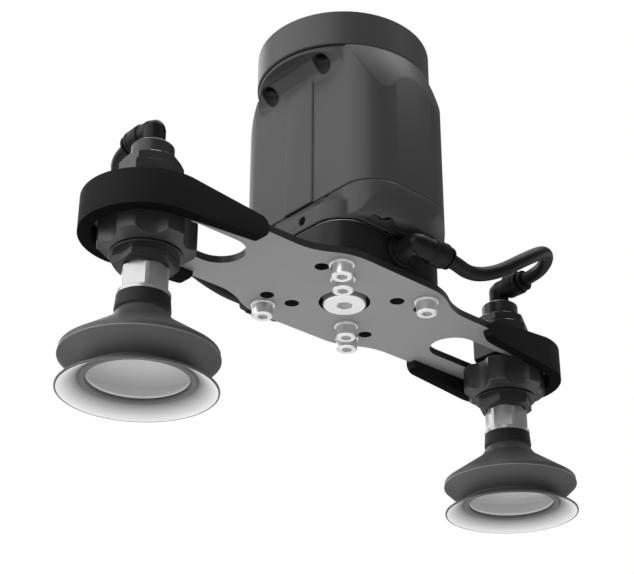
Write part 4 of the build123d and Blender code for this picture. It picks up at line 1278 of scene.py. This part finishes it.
@dataclass
class Elbow:
    """A push-in elbow: a stem from its seat, a rounded corner and a barrel for the hose.

    The groove's ends count from the barrel's mouth. The corner's end and shoulder are shares of its
    body's radius.
    """

    side: Side
    node: str
    body: str
    centre: tuple[float, float, float]
    stem_from: tuple[float, float, float]
    barrel_to: tuple[float, float, float]
    base_radius: float
    stem_radius: float = 4.4
    barrel_radius: float = 5.3
    mouth_radius: float = 3.9
    mouth_depth: float = 5.0
    sleeve_length: float = 8.0
    groove_ends: tuple[float, float] = (2.2, 1.4)
    groove_flank: float = 0.2
    groove_depth: float = 0.25
    corner_end: float = 0.98
    corner_shoulder: tuple[float, float] = (0.7, 0.74)
    base_height: float = 2.4
    seat_gap: float = 0.05
    reach: float = 13.2
    rise: float = 9.1
    steps: int = 48

    def _barrel(self, axis: Vector, away: Vector, origin: Vector) -> Shape:
        """Turn the barrel: the corner's end, a step, a grooved sleeve and the mouth.

        Args:
            axis: The way the barrel runs.
            away: A direction square to it.
            origin: The elbow's corner, in metres.

        Returns:
            The barrel's closed shell.
        """
        body, sleeve, mouth = self.stem_radius + 0.1, self.barrel_radius, self.mouth_radius
        end, groove, flank = self.reach, sleeve - self.groove_depth, self.groove_flank
        start, stop = (end - place for place in self.groove_ends)
        shoulder_out, shoulder_back = (body * share for share in self.corner_shoulder)
        corners = [
            (0, -body * self.corner_end, 0), (shoulder_out, -shoulder_back, 2.5),
            (body, 1.0, 1.5), (body, end - self.sleeve_length, 0.3),
            (sleeve, end - self.sleeve_length + 0.6, 0.4), (sleeve, start, 0.15),
            (groove, start + flank, 0), (groove, stop - flank, 0), (sleeve, stop, 0.15),
            (sleeve, end, 0.5), (mouth, end, 0.15), (mouth, end - self.mouth_depth, 0),
            (0, end - self.mouth_depth, 0),
        ]
        shape = Shape().outline(corners, origin, along=away, up=axis, closed=False)
        return shape.spin(origin, axis, self.steps)

    def _stem(self, down: Vector, away: Vector, origin: Vector) -> Shape:
        """Turn the stem and its base ring.

        Args:
            down: The way the stem runs.
            away: A direction square to it.
            origin: The elbow's corner, in metres.

        Returns:
            The stem's closed shell.
        """
        foot = self.rise - self.seat_gap
        corners = [
            (0, 0, 0), (self.stem_radius, 0, 0),
            (self.stem_radius, self.rise - self.base_height, 0.3),
            (self.base_radius, self.rise - self.base_height + 0.4, 0.3),
            (self.base_radius, foot, 0.3), (0, foot, 0),
        ]
        shape = Shape().outline(corners, origin, along=away, up=down, closed=False)
        return shape.spin(origin, down, self.steps)

    def build(self) -> bpy.types.Object:
        """Build the elbow in place of its solid.

        Returns:
            The finished piece.
        """
        origin = Vector(self.centre) * MM
        barrel = Vector(self.barrel_to)
        stem = Vector(self.stem_from)
        across = barrel.cross(stem)
        shape = self._barrel(barrel, across, origin).add(self._stem(stem, across, origin))
        piece = shape.turned(self.side.turn).to_object(
            self.side.node(self.node) + "_body", Finishes.elbow
        )
        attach(piece, self.body)
        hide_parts(self.side.node(self.node))
        LOG.info("%s on the %s", self.node, self.side.value)
        return piece


@dataclass
class Gripper:
    """The whole gripper: which node gets which finish and edge, and which are rebuilt.

    Tops, lows and rims are where the stack's turned pieces end in the photo, in millimetres. The
    rises are how far that lies above the solids' own ends.
    """

    skins: dict[str, tuple[Finish, float]] = field(default_factory=lambda: {
        "coupling_ring": (Finishes.ring, 0.35 * MM),
        "body_housing": (Finishes.housing, 0.0),
        "lower_cap": (Finishes.housing, 0.0),
        "plate_screws": (Finishes.zinc, 0.0),
        "plate_washers": (Finishes.zinc, 0.12 * MM),
        "port_plug": (Finishes.zinc, 0.0),
        "coupling_screws": (Finishes.black_steel, 0.0),
        "cap_screws": (Finishes.black_steel, 0.0),
        "block_screws": (Finishes.zinc, 0.0),
        "cap_seal": (Finishes.seal, 0.0),
        "manifold_gasket": (Finishes.seal, 0.0),
        "plug_seal": (Finishes.seal, 0.0),
        "inlet_filter": (Finishes.sinter, 0.0),
        "check_valve": (Finishes.brass, 0.0),
        "vent_valve": (Finishes.pump, 0.0),
        "pump_motor": (Finishes.nickel, 0.0),
        "pump_chassis": (Finishes.block, 0.0),
        "motor_shaft": (Finishes.zinc, 0.0),
        "connecting_rod": (Finishes.pump, 0.0),
        "pump_cylinder": (Finishes.pump, 0.0),
        "diaphragm": (Finishes.seal, 0.0),
        "pump_head": (Finishes.pump, 0.0),
        "valve_plate": (Finishes.pump, 0.0),
        "control_board": (Finishes.board, 0.0),
        "signal_socket": (Finishes.nickel, 0.0),
    })
    side_skins: dict[str, tuple[Finish, float]] = field(default_factory=lambda: {
        "thrust_washer": (Finishes.nickel, 0.0),
        "cup_fitting": (Finishes.nickel, 0.12 * MM),
        "cup_filter": (Finishes.sinter, 0.0),
        "port_collar": (Finishes.elbow, 0.0),
        "top_collar": (Finishes.elbow, 0.0),
    })
    block_top: float = -100.9
    cap_top: float = -87.0
    nut_top: float = -93.7
    clamp_top: float = -98.0
    stem_low: float = -138.55
    nut_rise: float = 1.2
    clamp_rise: float = 3.1
    nut_rim: float = 9.7
    clamp_rim: float = 11.0
    stem_rim: float = 9.9
    hexagon_edge: float = 0.28 * MM

    def _body_of(self, node: str) -> str:
        """Give the body that a node belongs to."""
        return frame["nodes"][node]["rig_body"]

    def _skin(self, node: str, finish: Finish, edge: float) -> None:
        """Finish one node with a skin."""
        Skin(node, finish, self._body_of(node), edge).build()

    def _elbows(self, side: Side) -> None:
        """Build the elbow on a cup and its fellow on the block.

        Args:
            side: Which cup.
        """
        Elbow(side, "top_elbow", side.value + "_carriage", (CUP_X, 0, CUP_PORT_Z),
              stem_from=(0, 0, -1), barrel_to=(0, -1, 0), base_radius=5.4).build()
        Elbow(side, "port_elbow", "frame", (0, BLOCK_PORT_Y, BLOCK_PORT_Z),
              stem_from=(0, 1, 0), barrel_to=(1, 0, 0), base_radius=6.6, reach=15.6,
              rise=10.0).build()

    def _stack(self, side: Side) -> None:
        """Build the turned pieces that clamp a cup's stem.

        Args:
            side: Which cup.
        """
        body = self._body_of(side.node("lock_nut"))
        TurnedHex(side.node("lock_nut"), Finishes.clamp, body, self.hexagon_edge, side=side,
                  end=self.nut_top, rim_radius=self.nut_rim, bright_rim=self.nut_top,
                  stretch=(self.clamp_rise, self.nut_rise)).build()
        TurnedHex(side.node("clamp_body"), Finishes.clamp, body, self.hexagon_edge, side=side,
                  end=self.clamp_top, rim_radius=self.clamp_rim, bright_rim=self.clamp_top,
                  stretch=(0.0, self.clamp_rise)).build()
        TurnedHex(side.node("cup_stem"), Finishes.stem, body, self.hexagon_edge, side=side,
                  end=self.stem_low, rim_radius=self.stem_rim, upward=False).build()
        Skin(side.node("stem_cap"), Finishes.clamp, body, bright_rim=self.cap_top,
             stretch=(self.nut_rise, self.nut_rise)).build()

    def _side(self, side: Side) -> None:
        """Build one cup with its hose.

        Args:
            side: Which cup.
        """
        Hose(side).build()
        SuctionCup(side).build()
        self._elbows(side)
        Knob(side).build()
        Guard(side).build()
        self._stack(side)
        for name, (finish, edge) in self.side_skins.items():
            self._skin(side.node(name), finish, edge)

    def build(self) -> None:
        """Build every piece."""
        for side in Side:
            self._side(side)
        Skin("manifold_block", Finishes.block, "frame", 0.0, bright_rim=self.block_top).build()
        # The plate's upright faces get a painted shade.
        Skin("mounting_plate", Finishes.plate, "frame", 0.0,
             wall_finish=Finishes.plate_edge_shade).build()
        for node, (finish, edge) in self.skins.items():
            self._skin(node, finish, edge)


def main() -> None:
    """Build the scene in order."""
    logging.basicConfig(level=logging.INFO, format="%(name)s: %(message)s")
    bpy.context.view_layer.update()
    Camera().build()
    Studio().build()
    Gripper().build()
    bpy.context.view_layer.update()


if __name__ == "__main__":
    main()
